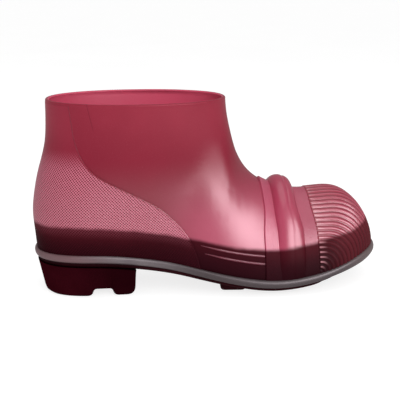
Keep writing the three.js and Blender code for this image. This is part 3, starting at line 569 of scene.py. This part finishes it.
def bar_loop(xr, xf, inset, zf_, n=26):
    """loop round one cross bar, inset mm in from its walls"""
    a = np.concatenate([np.linspace(0, 1, n), np.ones(n - 2), np.linspace(1, 0, n), np.zeros(n - 2)])
    bb = np.concatenate([-np.ones(n), np.linspace(-1, 1, n)[1:-1], np.ones(n), np.linspace(1, -1, n)[1:-1]])
    # rounded corners
    k = 0.86
    ca, cb = a * 2 - 1, bb
    rr = np.maximum(np.abs(ca), np.abs(cb))
    ln = (np.abs(ca) ** 9 + np.abs(cb) ** 9) ** (1 / 9)
    ca, cb = ca / ln * rr, cb / ln * rr
    y = np.zeros_like(ca)
    for _ in range(4):
        r0, f0_ = xr(y), xf(y)
        x = (r0 + f0_) / 2 + ca * ((f0_ - r0) / 2 - inset)
        w = np.where(cb < 0, tread_w(x, LAT), tread_w(x, MED)) - inset
        y = YC(x) + cb * w
    return np.stack([x, y, zf_(x)], -1)


def bar(xr, xf):
    under = lambda x: ZF(x) - GAP - PLATE + 0.6
    L = [bar_loop(xr, xf, 0.0, under), bar_loop(xr, xf, 0.12, lambda x: ground(x) + 1.5), bar_loop(xr, xf, 0.3, lambda x: ground(x) + 0.7),
         bar_loop(xr, xf, 0.75, lambda x: ground(x) + 0.18), bar_loop(xr, xf, 1.4, lambda x: ground(x) + 0.0), bar_loop(xr, xf, 4.0, lambda x: ground(x) + 0.0)]
    n = L[0].shape[0]
    V = np.array(L); S = len(L)
    F = [tuple(q) for q in quads(S, n, True)]
    # close with strips across the bar
    q = n // 4
    for base, flip in ((0, True), ((S - 1) * n, False)):
        idx = [base + i for i in range(n)]
        # the two long walls face each other: pair them across
        A_ = idx[q:2 * q + 1]
        B_ = [idx[0]] + idx[3 * q:][::-1]
        m_ = min(len(A_), len(B_))
        for i in range(m_ - 1):
            f_ = (A_[i], A_[i + 1], B_[i + 1], B_[i])
            F.append(f_ if not flip else f_[::-1])
    return V.reshape(-1, 3), F


HW = 7.2
edges = [(lambda y: 116.0 + 0 * y + bow(y) * 0.4, lambda y: groove[0] - HW + bow(y))]
for a_, b_ in zip(groove[:-1], groove[1:]):
    edges.append((lambda y, a_=a_: a_ + HW + bow(y), lambda y, b_=b_: b_ - HW + bow(y)))
edges.append((lambda y: groove[-1] + HW + bow(y) * 0.4 - 2, lambda y: 245.0 + 0 * y))
Vs, Fs, off = [plate[0]], [tuple(f_) for f_ in plate[1]], len(plate[0])
for xr, xf in edges[1:]:
    if True:
        v, f_ = bar(xr, xf)
        Vs.append(v); Fs += [tuple(i + off for i in q) for q in f_]; off += len(v)
sole = make("outsole_fine", np.concatenate(Vs), Fs, {"mx": np.concatenate(Vs)[:, 0]})

# heel block: walls taper to the ground; its tread profile has a cross notch with rounded corners
XE = 74.5
xb_top, xb_bot = float(XB(ZF(3.0))) - 1.6, 5.8


def fillet(pts, r, n=6):
    """rounds the corners of a polyline (x,z)"""
    outp = [pts[0]]
    for k in range(1, len(pts) - 1):
        p, a_, b_ = (np.array(pts[i], float) for i in (k, k - 1, k + 1))
        rk = r[k - 1]
        u_, v_ = (a_ - p) / np.linalg.norm(a_ - p), (b_ - p) / np.linalg.norm(b_ - p)
        for t in np.linspace(0, 1, n):
            s0, s1 = p + u_ * rk, p + v_ * rk
            outp.append(tuple((1 - t) ** 2 * s0 + 2 * t * (1 - t) * p + t ** 2 * s1))
    outp.append(pts[-1])
    return np.array(outp)


under = lambda x: ZF(x) - GAP - PLATE + 0.25
pl = fillet([(xb_bot, 5.0), (xb_bot + 1.6, 1.2), (xb_bot + 9, 0.0), (42.2, 0.0), (42.8, 5.4), (56.9, 5.4), (57.5, 0.0), (73.6, 0.0), (XE, float(under(XE)))],
            [1.2, 3.0, 4.4, 2.5, 2.5, 4.2, 6.2], 9)
seg = np.concatenate([[0], np.cumsum(np.hypot(*np.diff(pl, axis=0).T))])
tt = np.unique(np.concatenate([seg, np.linspace(0, seg[-1], 150)]))
pl = np.stack([np.interp(tt, seg, pl[:, 0]), np.interp(tt, seg, pl[:, 1])], -1)
pl[:, 0] = np.maximum.accumulate(pl[:, 0] + np.arange(len(pl)) * 1e-3)
q_ = np.clip((pl[:, 0] - xb_bot) / (XE - xb_bot), 0, 1)
q_[0] = 0


def heel_half(x, t, side):
    xb = xb_top + (xb_bot - xb_top) * t
    k = np.clip((46 - x) / (46 - xb), 0, 1)
    w = (34.2 if side < 0 else 33.8) - t * 7.2 + np.clip(x - 46, 0, None) * 0.012
    return w * (1 - k ** 2.3) ** (1 / 2.1)


# more stations near the back, where the outline turns
def heel_col(t, inset, dz, side):
    xb = xb_top + (xb_bot - xb_top) * t
    x = xb + (XE - xb) * q_
    x = np.where(q_ <= 0, xb, x)
    zt = under(x)
    z = zt * (1 - t) + pl[:, 1] * t
    w = np.maximum(heel_half(x, t, side) - inset, 0)
    return np.stack([x + inset * (1 - q_) ** 6, side * w, np.minimum(z + dz, zt)], -1)


extra = np.linspace(0, 1, 30) ** 2 * 0.16
q_all = np.unique(np.concatenate([q_, extra]))
plx = np.interp(q_all, q_, pl[:, 0]); plz = np.interp(q_all, q_, pl[:, 1])
pl = np.stack([plx, plz], -1); q_ = q_all
ts = np.linspace(0, 1, 12)
colsL = [heel_col(t, 0, 0, LAT) for t in ts[:-1]]; colsM = [heel_col(t, 0, 0, MED) for t in ts[:-1]]
RB = 1.3
for a_ in np.linspace(0, np.pi / 2, 6):
    ins, dz = RB * (1 - math.cos(a_)), RB * (1 - math.sin(a_))
    colsL.append(heel_col(1.0, ins, dz, LAT)); colsM.append(heel_col(1.0, ins, dz, MED))
WL_, WM_ = np.array(colsL), np.array(colsM)          # (T, K, 3)
# across the underside
bl, bm = WL_[-1], WM_[-1]
ac = np.linspace(0, 1, 11)[1:-1]
across = np.array([bl * (1 - s) + bm * s for s in ac])
skin = np.concatenate([WL_, across, WM_[::-1]])      # from the outer top edge, under the heel, to the inner top edge
V, F = skin.reshape(-1, 3), [tuple(r) for r in quads(skin.shape[0], skin.shape[1], False)]
K = skin.shape[1]
# top, closed between the two top edges
base = 0; lastrow = (skin.shape[0] - 1) * K
F += [(base + k + 1, base + k, lastrow + k, lastrow + k + 1) for k in range(K - 1)]
heel = make("heel_block_fine", V, F, {"mx": V[:, 0]})

# ------------------------------------------------------------------ inside: board, footbed
b0_ = FLOOR + GAP; f0_ = b0_ + BOARD + GAP; c0_ = f0_ + FOAM + 0.3


def pad(name, z0, z1, out_, r, cup=0.0, attrs=None):
    def lp(inset, h):
        return with_z(outline(4, out_ - inset), lambda x: ZF(x) + h)
    L = [lp(r, z0), lp(r * 0.3, z0 + r * 0.3), lp(0, z0 + r), lp(0, z1 - r), lp(r * 0.3, z1 - r * 0.3), lp(r, z1)]
    edge_ = L[-1]
    for k in (0.88, 0.72, 0.52, 0.3, 0.08):
        q = edge_.copy(); q[:, 1] = YC(q[:, 0]) + (q[:, 1] - YC(q[:, 0])) * k
        q[:, 2] = ZF(q[:, 0]) + z1 - cup * (1 - k)
        L.append(q)
    V, F = tube_of(L)
    return make(name, V, F, {"mx": V[:, 0]})


board = pad("insole_board_fine", b0_, b0_ + BOARD, -(WALL + 1.2), 0.3)
foam = pad("footbed_foam_fine", f0_, f0_ + FOAM, -(WALL + 3.2), 1.2)
cover = pad("footbed_cover_fine", c0_ - 0.25, c0_ + COVER, -(WALL + 3.2), 0.45, cup=0.5)

# ------------------------------------------------------------------ materials
def srgb(r, g, b):
    return tuple(((c / 255) / 12.92 if c / 255 <= 0.04045 else ((c / 255 + 0.055) / 1.055) ** 2.4) for c in (r, g, b)) + (1.0,)


class Net:
    def __init__(s, name):
        s.m = bpy.data.materials.new(name); s.m.use_nodes = True
        s.t = s.m.node_tree; s.t.nodes.clear()
        s.out = s.n("ShaderNodeOutputMaterial"); s.b = s.n("ShaderNodeBsdfPrincipled")
        s.l(s.b.outputs["BSDF"], s.out.inputs["Surface"])

    def n(s, kind, **kw):
        nd = s.t.nodes.new(kind)
        for k, v in kw.items():
            setattr(nd, k, v)
        return nd

    def l(s, a, b):
        s.t.links.new(a, b)

    def attr(s, name):
        return s.n("ShaderNodeAttribute", attribute_name=name).outputs["Fac"]

    def coord(s):
        return s.n("ShaderNodeTexCoord").outputs["Object"]

    def noise(s, scale, detail=3.0, rough=0.55, vec=None):
        nd = s.n("ShaderNodeTexNoise"); nd.inputs["Scale"].default_value = scale
        nd.inputs["Detail"].default_value = detail; nd.inputs["Roughness"].default_value = rough
        s.l(vec if vec is not None else s.coord(), nd.inputs["Vector"])
        return nd.outputs["Fac"]

    def math(s, op, a, b=None, c=None, clamp=False):
        nd = s.n("ShaderNodeMath", operation=op, use_clamp=clamp)
        for i, v in enumerate((a, b, c)):
            if v is None:
                continue
            if isinstance(v, (int, float)):
                nd.inputs[i].default_value = v
            else:
                s.l(v, nd.inputs[i])
        return nd.outputs[0]

    def remap(s, v, a, b, c=0.0, d=1.0, smooth_=True):
        nd = s.n("ShaderNodeMapRange", interpolation_type="SMOOTHSTEP" if smooth_ else "LINEAR")
        for i, x in enumerate((v, a, b, c, d)):
            if isinstance(x, (int, float)):
                nd.inputs[i].default_value = x
            else:
                s.l(x, nd.inputs[i])
        return nd.outputs[0]

    def mix(s, f, a, b, kind="MIX"):
        nd = s.n("ShaderNodeMix", data_type="RGBA", blend_type=kind)
        for i, v in ((0, f), (6, a), (7, b)):
            if isinstance(v, (int, float)):
                nd.inputs[i].default_value = v
            elif isinstance(v, tuple):
                nd.inputs[i].default_value = v
            else:
                s.l(v, nd.inputs[i])
        return nd.outputs[2]

    def ramp(s, v, stops):
        nd = s.n("ShaderNodeValToRGB"); e = nd.color_ramp.elements
        while len(e) < len(stops):
            e.new(0.5)
        for k, (p, c) in enumerate(stops):
            e[k].position = p; e[k].color = c
        s.l(v, nd.inputs[0])
        return nd.outputs[0]

    def bump(s, h, dist, strength=1.0, prev=None):
        nd = s.n("ShaderNodeBump"); nd.inputs["Distance"].default_value = dist; nd.inputs["Strength"].default_value = strength
        s.l(h, nd.inputs["Height"])
        if prev is not None:
            s.l(prev, nd.inputs["Normal"])
        return nd.outputs[0]

    def set(s, **kw):
        for k, v in kw.items():
            s.b.inputs[k.replace("_", " ")].default_value = v


SHADE_DUSK, SHADE_DARK, SHADE_BLACK = srgb(72, 18, 26), srgb(36, 6, 12), srgb(26, 4, 8)


def pvc(name, body, rough=0.30, spec=0.42, knurl=False, ribs=False, striae=0.0, seam_shade=False, inside_glow_col=None, dark_mix=1.0, dark_spec=0.05, shaft_spec=0.14, second_line=False):
    n = Net(name)
    co = n.coord(); hw = n.attr("hw"); mz = n.attr("mz")
    cloud = n.noise(22, 3.0, vec=co)
    fine = n.noise(900, 2.0, vec=co)
    # body colour: lighter near the topline as a painted glow standing in for light coming through the translucent rim,
    # deeper in the middle of the shaft, with slow cloudiness
    topline_glow = n.remap(mz, 100, 140)
    c = n.mix(n.math("MULTIPLY", topline_glow, 0.62), body, tuple(min(1, v * 1.35 + 0.012) for v in body[:3]) + (1,))
    c = n.mix(n.remap(cloud, 0.35, 0.7, 0.0, 0.30), c, tuple(v * 0.80 for v in body[:3]) + (1,))
    mxx = n.attr("mx")
    # painted highlight: a pink flush on the lower shaft and vamp flare stands in for the broad soft reflection there
    painted_flare_highlight = n.math("MULTIPLY", n.remap(mz, 100, 50), n.math("MULTIPLY", n.remap(mxx, 78, 132), n.remap(mxx, 214, 168)))
    c = n.mix(n.math("MULTIPLY", painted_flare_highlight, 0.62), c, srgb(196, 78, 110))
    # painted glow: the inside walls get a lighter pink in place of light shining through the translucent shell
    if inside_glow_col is not None:
        c = n.mix(n.attr("inside"), c, inside_glow_col)
    speck = n.noise(2600, 1.0, vec=co)
    c = n.mix(n.remap(speck, 0.62, 0.78, 0.0, 0.10), c, srgb(214, 140, 158))       # pearl flecks
    if ribs:
        rb = n.attr("rib")
        # painted shade in the rib valleys and a painted highlight along the rib crests
        c = n.mix(n.remap(rb, 0.0, 0.5, 0.62, 0.0), c, tuple(v * 0.46 for v in body[:3]) + (1,))
        c = n.mix(n.remap(rb, 0.70, 1.0, 0.0, 0.30), c, srgb(222, 138, 156))
    # the low zone: painted shade, darkening the rubber towards the welt in place of the dark reflections and unlit
    # downward-facing walls there, with a soft edge that follows the welt
    wob = n.math("ADD", hw, n.math("MULTIPLY", n.math("SUBTRACT", n.noise(60, 2.0, vec=co), 0.5), 2.4))
    edge = n.remap(wob, 20.2, 24.0)                       # 1 above, 0 inside the zone
    depth = n.remap(wob, 6.0, 23.0)
    low_shade = n.mix(depth, SHADE_DARK, SHADE_DUSK)
    low_shade = n.mix(n.remap(wob, 1.0, 9.0), SHADE_BLACK, low_shade)
    # painted shade, deepest along the waist and paler at the toe
    mid = n.remap(n.math("ABSOLUTE", n.math("SUBTRACT", mxx, 130.0)), 75.0, 30.0, 0.0, 0.45)      # deepest along the waist, paler at the toe
    low_shade = n.mix(mid, low_shade, SHADE_BLACK)
    low_shade = n.mix(n.remap(mxx, 212, 240, 0.0, 0.5), low_shade, srgb(112, 40, 48))
    outer = n.math("MULTIPLY_ADD", n.attr("inside"), -0.75, 1.0)
    c = n.mix(n.math("MULTIPLY", n.math("MULTIPLY", n.math("SUBTRACT", 1.0, edge), dark_mix * 0.97), outer), c, low_shade)
    if ribs:        # the ribs' rear ends stand out pale even in the dark zone
        # painted glint: the ribs' rear ends are lightened inside the dark zone
        ends = n.math("MULTIPLY", n.remap(rb, 0.55, 0.95), n.math("MULTIPLY", n.remap(n.attr("rd"), 1.0, 8.5, 1.0, 0.0), n.remap(hw, 1.5, 7.0)))
        c = n.mix(n.math("MULTIPLY", ends, 0.75), c, srgb(196, 136, 144))
        # painted shade deepening the rib valleys inside the dark zone
        gr = n.math("MULTIPLY", n.remap(rb, 0.35, 0.0), n.math("SUBTRACT", 1.0, edge))
        c = n.mix(n.math("MULTIPLY", gr, 0.45), c, srgb(30, 4, 9))
    if second_line:        # a faint short parting line behind the main one, near the topline
        d2 = n.math("ABSOLUTE", n.math("SUBTRACT", n.attr("mx"), n.math("MULTIPLY_ADD", mz, -0.22, 74.4)))
        ln = n.math("MULTIPLY", n.remap(d2, 0.0, 0.55, 1.0, 0.0), n.math("MULTIPLY", n.remap(mz, 124, 132), n.remap(n.attr("inside"), 0.0, 0.5, 1.0, 0.0)))
        c = n.mix(n.math("MULTIPLY", ln, 0.40), c, srgb(84, 18, 32))
    if seam_shade:
        # painted shade: a dark line along the counter's edge, in place of the shade in the crease where it meets the
        # upper, strongest on the shaft
        c = n.mix(n.math("MULTIPLY", n.attr("seam_shade"), 0.75), c, srgb(92, 24, 38))
    n.l(c, n.b.inputs["Base Color"])
    r = n.math("ADD", rough - 0.03, n.math("MULTIPLY", cloud, 0.07))
    r = n.math("ADD", r, n.math("MULTIPLY", n.math("SUBTRACT", 1.0, edge), 0.10))
    n.l(r, n.b.inputs["Roughness"])
    nb = n.bump(fine, 0.00012, 0.22)
    nb = n.bump(n.noise(130, 2.0, vec=co), 0.0009, 0.10, nb)
    if knurl:
        ks, kd = n.attr("ks"), n.attr("kd")
        w = 2 * math.pi / 1.5
        a = n.math("MULTIPLY", n.math("ADD", ks, mz), w / math.sqrt(2)); b = n.math("MULTIPLY", n.math("SUBTRACT", ks, mz), w / math.sqrt(2))
        # raised lattice with small pits between its strands
        h = n.math("MULTIPLY", n.math("MULTIPLY_ADD", n.math("COSINE", a), 0.5, 0.5), n.math("MULTIPLY_ADD", n.math("COSINE", b), 0.5, 0.5))
        fd = n.math("MULTIPLY", n.remap(mz, 114, 96), n.remap(kd, 0.9, 1.7))
        pit = n.math("MULTIPLY", n.remap(h, 0.12, 0.62), fd)
        nb = n.bump(n.math("SUBTRACT", 1.0, pit), 0.0006, 0.4, nb)
        # painted highlight on the lattice strands, stronger above the dark zone, and painted shade in the pits
        knurl_crest_highlight = n.math("MULTIPLY", n.math("MULTIPLY", fd, n.remap(h, 0.30, 0.02)), n.math("MULTIPLY_ADD", edge, 0.62, n.math("MULTIPLY", n.remap(wob, 13.0, 22.0), 0.10)))
        c2 = n.mix(knurl_crest_highlight, c, srgb(226, 130, 152))
        c2 = n.mix(n.math("MULTIPLY", pit, 0.62), c2, srgb(66, 12, 24))
        n.l(c2, n.b.inputs["Base Color"])
    if striae:
        ks = n.attr("ks")
        mp = n.n("ShaderNodeCombineXYZ"); n.l(n.math("MULTIPLY", n.attr("mx"), 2.6), mp.inputs[0]); n.l(n.math("MULTIPLY", ks, 0.16), mp.inputs[1])
        st = n.noise(1.0, 2.0, vec=mp.outputs[0])
        nb = n.bump(st, 0.0005, striae, nb)
    n.l(nb, n.b.inputs["Normal"])
    n.set(IOR=1.45, Specular_IOR_Level=spec)
    up = n.remap(mz, 108, 66, shaft_spec / spec, 1.0)
    n.l(n.math("MULTIPLY_ADD", n.math("MULTIPLY", edge, up), spec - dark_spec, dark_spec), n.b.inputs["Specular IOR Level"])
    return n.m


BODY = srgb(134, 30, 50)
M_UPPER = pvc("upper_pvc", BODY, inside_glow_col=srgb(216, 86, 114), rough=0.38, spec=0.85, dark_spec=0.02, second_line=True)
M_COUNTER = pvc("counter_pvc", srgb(138, 34, 54), knurl=True, seam_shade=True, rough=0.36, spec=0.75, dark_spec=0.02)
M_BAND = pvc("band_pvc", srgb(168, 70, 92), striae=0.35, rough=0.36, spec=0.72, dark_spec=0.02, shaft_spec=0.72)
M_ROLL = pvc("roll_pvc", srgb(156, 52, 74), rough=0.28, spec=0.62, dark_spec=0.02, shaft_spec=0.62)
M_TOE = pvc("toe_pvc", srgb(156, 48, 68), ribs=True, rough=0.30, spec=0.62, dark_spec=0.04, shaft_spec=0.62)
M_BAR = pvc("bar_pvc", srgb(150, 48, 68), rough=0.20, spec=0.7, dark_mix=0.75, dark_spec=0.7)


def simple(name, cols, rough, scale, bump_d, spec=0.4, extra=None, rvar=0.1):
    n = Net(name); co = n.coord()
    f = n.noise(scale, 4.0, vec=co); g = n.noise(scale * 14, 2.0, vec=co)
    c = n.ramp(f, [(0.3, cols[0]), (0.7, cols[1])])
    c = n.mix(n.remap(g, 0.45, 0.7, 0.0, 0.25), c, cols[2])
    if extra:
        c = extra(n, c)
    n.l(c, n.b.inputs["Base Color"])
    n.l(n.math("ADD", rough - rvar / 2, n.math("MULTIPLY", f, rvar)), n.b.inputs["Roughness"])
    nb = n.bump(g, bump_d, 0.35); nb = n.bump(f, bump_d * 4, 0.15, nb)
    n.l(nb, n.b.inputs["Normal"])
    n.set(Specular_IOR_Level=spec)
    return n.m


def welt_extra(n, c):
    mx = n.attr("mx"); wh = n.attr("wh")
    c = n.mix(n.remap(mx, 20, 70), srgb(112, 82, 86), c)
    c = n.mix(n.remap(mx, 70, 130), c, srgb(70, 59, 62)); c = n.mix(n.remap(mx, 225, 262), c, srgb(96, 80, 80))
    # painted shade: the welt's lower edge is darkened
    return n.mix(n.remap(wh, 0.2, 1.6, 0.6, 0.0), c, srgb(50, 36, 38))


M_WELT = simple("welt_pvc", (srgb(98, 88, 92), srgb(112, 103, 106), srgb(84, 74, 78)), 0.42, 60, 0.00012, 0.45, welt_extra)
M_SOLE = simple("sole_rubber_fine", (srgb(34, 8, 13), srgb(44, 11, 17), srgb(26, 7, 10)), 0.55, 45, 0.0002, 0.02)
# painted shade: the heel block darkens towards its breast, under the waist
M_HEEL = simple("heel_rubber_fine", (srgb(42, 5, 12), srgb(50, 8, 16), srgb(32, 4, 10)), 0.5, 45, 0.0002, 0.0, lambda n, c: n.mix(n.remap(n.attr("mx"), 15, 62, 0.0, 0.6), c, srgb(20, 2, 6)))
M_BOARD = simple("board_fibre", (srgb(128, 108, 84), srgb(150, 128, 100), srgb(104, 86, 66)), 0.85, 120, 0.0002, 0.2)
M_FOAM = simple("foam_eva", (srgb(52, 38, 44), srgb(64, 48, 54), srgb(38, 28, 32)), 0.9, 400, 0.0003, 0.2)


def knit(name, c0, c1):
    n = Net(name); co = n.coord()
    sep = n.n("ShaderNodeSeparateXYZ"); n.l(co, sep.inputs[0])
    x, y = n.math("MULTIPLY", sep.outputs[0], 1000.0), n.math("MULTIPLY", sep.outputs[1], 1000.0)
    col = n.math("SINE", n.math("MULTIPLY", y, 2 * math.pi / 1.3))
    row = n.math("SINE", n.math("ADD", n.math("MULTIPLY", x, 2 * math.pi / 1.0), n.math("MULTIPLY", n.math("ABSOLUTE", col), 2.4)))
    h = n.math("MULTIPLY_ADD", row, 0.35, n.math("MULTIPLY_ADD", col, 0.15, 0.5))
    fz = n.noise(1800, 2.0, vec=co); big = n.noise(30, 3.0, vec=co)
    c = n.mix(n.remap(h, 0.1, 0.9), c0, c1)
    c = n.mix(n.remap(big, 0.4, 0.7, 0.0, 0.3), c, tuple(v * 0.7 for v in c0[:3]) + (1,))
    n.l(c, n.b.inputs["Base Color"])
    n.l(n.math("MULTIPLY_ADD", fz, 0.1, 0.85), n.b.inputs["Roughness"])
    n.l(n.bump(n.math("ADD", h, n.math("MULTIPLY", fz, 0.3)), 0.0004, 0.6), n.b.inputs["Normal"])
    n.set(Sheen_Weight=0.35, Sheen_Roughness=0.5, Specular_IOR_Level=0.2)
    return n.m


M_KNIT = knit("footbed_knit", srgb(150, 104, 118), srgb(186, 138, 150))


def dress(ob, mat, body, slot, *nodes):
    ob.data.materials.clear(); ob.data.materials.append(mat)
    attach(ob, body)
    if nodes:
        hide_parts(*nodes)


dress(upper, M_UPPER, "boot", "upper_rubber", "upper_shell")
dress(counter, M_COUNTER, "boot", "counter_rubber", "heel_counter")
dress(band1, M_BAND, "boot", "trim_rubber", "instep_band")
dress(band2, M_BAND, "boot", "trim_rubber", "toe_band")
dress(roll, M_ROLL, "boot", "trim_rubber", "instep_roll")
dress(toe, M_TOE, "boot", "toe_rubber", "toe_cap")
for k, o in bars.items():
    dress(o, M_BAR, "boot", "trim_rubber", k)
dress(welt, M_WELT, "boot", "welt_rubber", "welt_strip")
dress(sole, M_SOLE, "boot", "sole_rubber", "outsole")
dress(heel, M_HEEL, "boot", "sole_rubber", "heel_block")
dress(board, M_BOARD, "boot", "insole_fibreboard", "insole_board")
dress(foam, M_FOAM, "footbed", "footbed_foam", "footbed_foam")
dress(cover, M_KNIT, "footbed", "footbed_fabric", "footbed_cover")
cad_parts["heel_core"].data.materials.clear()
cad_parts["heel_core"].data.materials.append(simple("core_foam", (srgb(180, 164, 132), srgb(196, 180, 148), srgb(150, 134, 104)), 0.9, 200, 0.0003, 0.2))

# ------------------------------------------------------------------ floor, light, camera
fm = Net("floor_paint")
fc = fm.ramp(fm.noise(3.0, 2.0), [(0.35, (0.40, 0.40, 0.40, 1)), (0.7, (0.43, 0.43, 0.43, 1))])
fm.l(fc, fm.b.inputs["Base Color"]); fm.set(Roughness=0.9, Specular_IOR_Level=0.1)
fm.b.inputs["Emission Color"].default_value = (1, 1, 1, 1); fm.b.inputs["Emission Strength"].default_value = 0.80
me = bpy.data.meshes.new("floor"); s = 40.0
me.from_pydata([(-s, -s, -0.0002), (s, -s, -0.0002), (s, s, -0.0002), (-s, s, -0.0002)], [], [(0, 1, 2, 3)])
floor = bpy.data.objects.new("floor", me); bpy.context.scene.collection.objects.link(floor)
me.materials.append(fm.m)
floor.visible_glossy = False

w = bpy.data.worlds.new("studio") if not bpy.context.scene.world else bpy.context.scene.world
bpy.context.scene.world = w; w.use_nodes = True
bg = w.node_tree.nodes.get("Background") or w.node_tree.nodes.new("ShaderNodeBackground")
bg.inputs["Color"].default_value = (1, 1, 1, 1); bg.inputs["Strength"].default_value = 0.42


def lamp(name, loc, target, size, power, size_y=None, col=(1, 1, 1)):
    d = bpy.data.lights.new(name, "AREA"); d.energy = power; d.size = size; d.color = col
    if size_y:
        d.shape = "RECTANGLE"; d.size_y = size_y
    o = bpy.data.objects.new(name, d); o.location = loc
    o.rotation_euler = (Vector(target) - Vector(loc)).to_track_quat("-Z", "Y").to_euler()
    bpy.context.scene.collection.objects.link(o)
    return o


# a broad panel in front gives the long soft reflections, a second one only fills
front = lamp("front", (0.80, -1.10, 0.46), (0.018, -0.04, 0.055), 1.40, 38, 0.90, col=(1.0, 0.93, 0.97))
front.visible_diffuse = False
fill = lamp("fill", (0.25, -1.05, 0.75), (0.018, 0, 0.06), 0.9, 7)
fill.visible_glossy = False
lamp("top", (0.05, -0.1, 1.3), (0.02, 0, 0.05), 1.1, 5)

cam = bpy.data.cameras.new("camera"); co_ = bpy.data.objects.new("camera", cam)
bpy.context.scene.collection.objects.link(co_)
a, p = math.radians(7.9), math.radians(14.8)
D, Hc = 600.0, 222.0
pos = np.array([126.7 - D * math.sin(a), -D * math.cos(a), Hc])
fwd = Vector((math.sin(a) * math.cos(p), math.cos(a) * math.cos(p), -math.sin(p)))
co_.location = Vector(row_frame(pos)[0])
co_.rotation_euler = fwd.to_track_quat("-Z", "Y").to_euler()
cam.sensor_width = 36; cam.lens = 801 / 400 * 36; cam.shift_y = 1.4 / 400
cam.clip_start = 0.01; cam.clip_end = 50
bpy.context.scene.camera = co_
bpy.context.scene.view_settings.view_transform = "Standard"
bpy.context.scene.view_settings.look = "None"
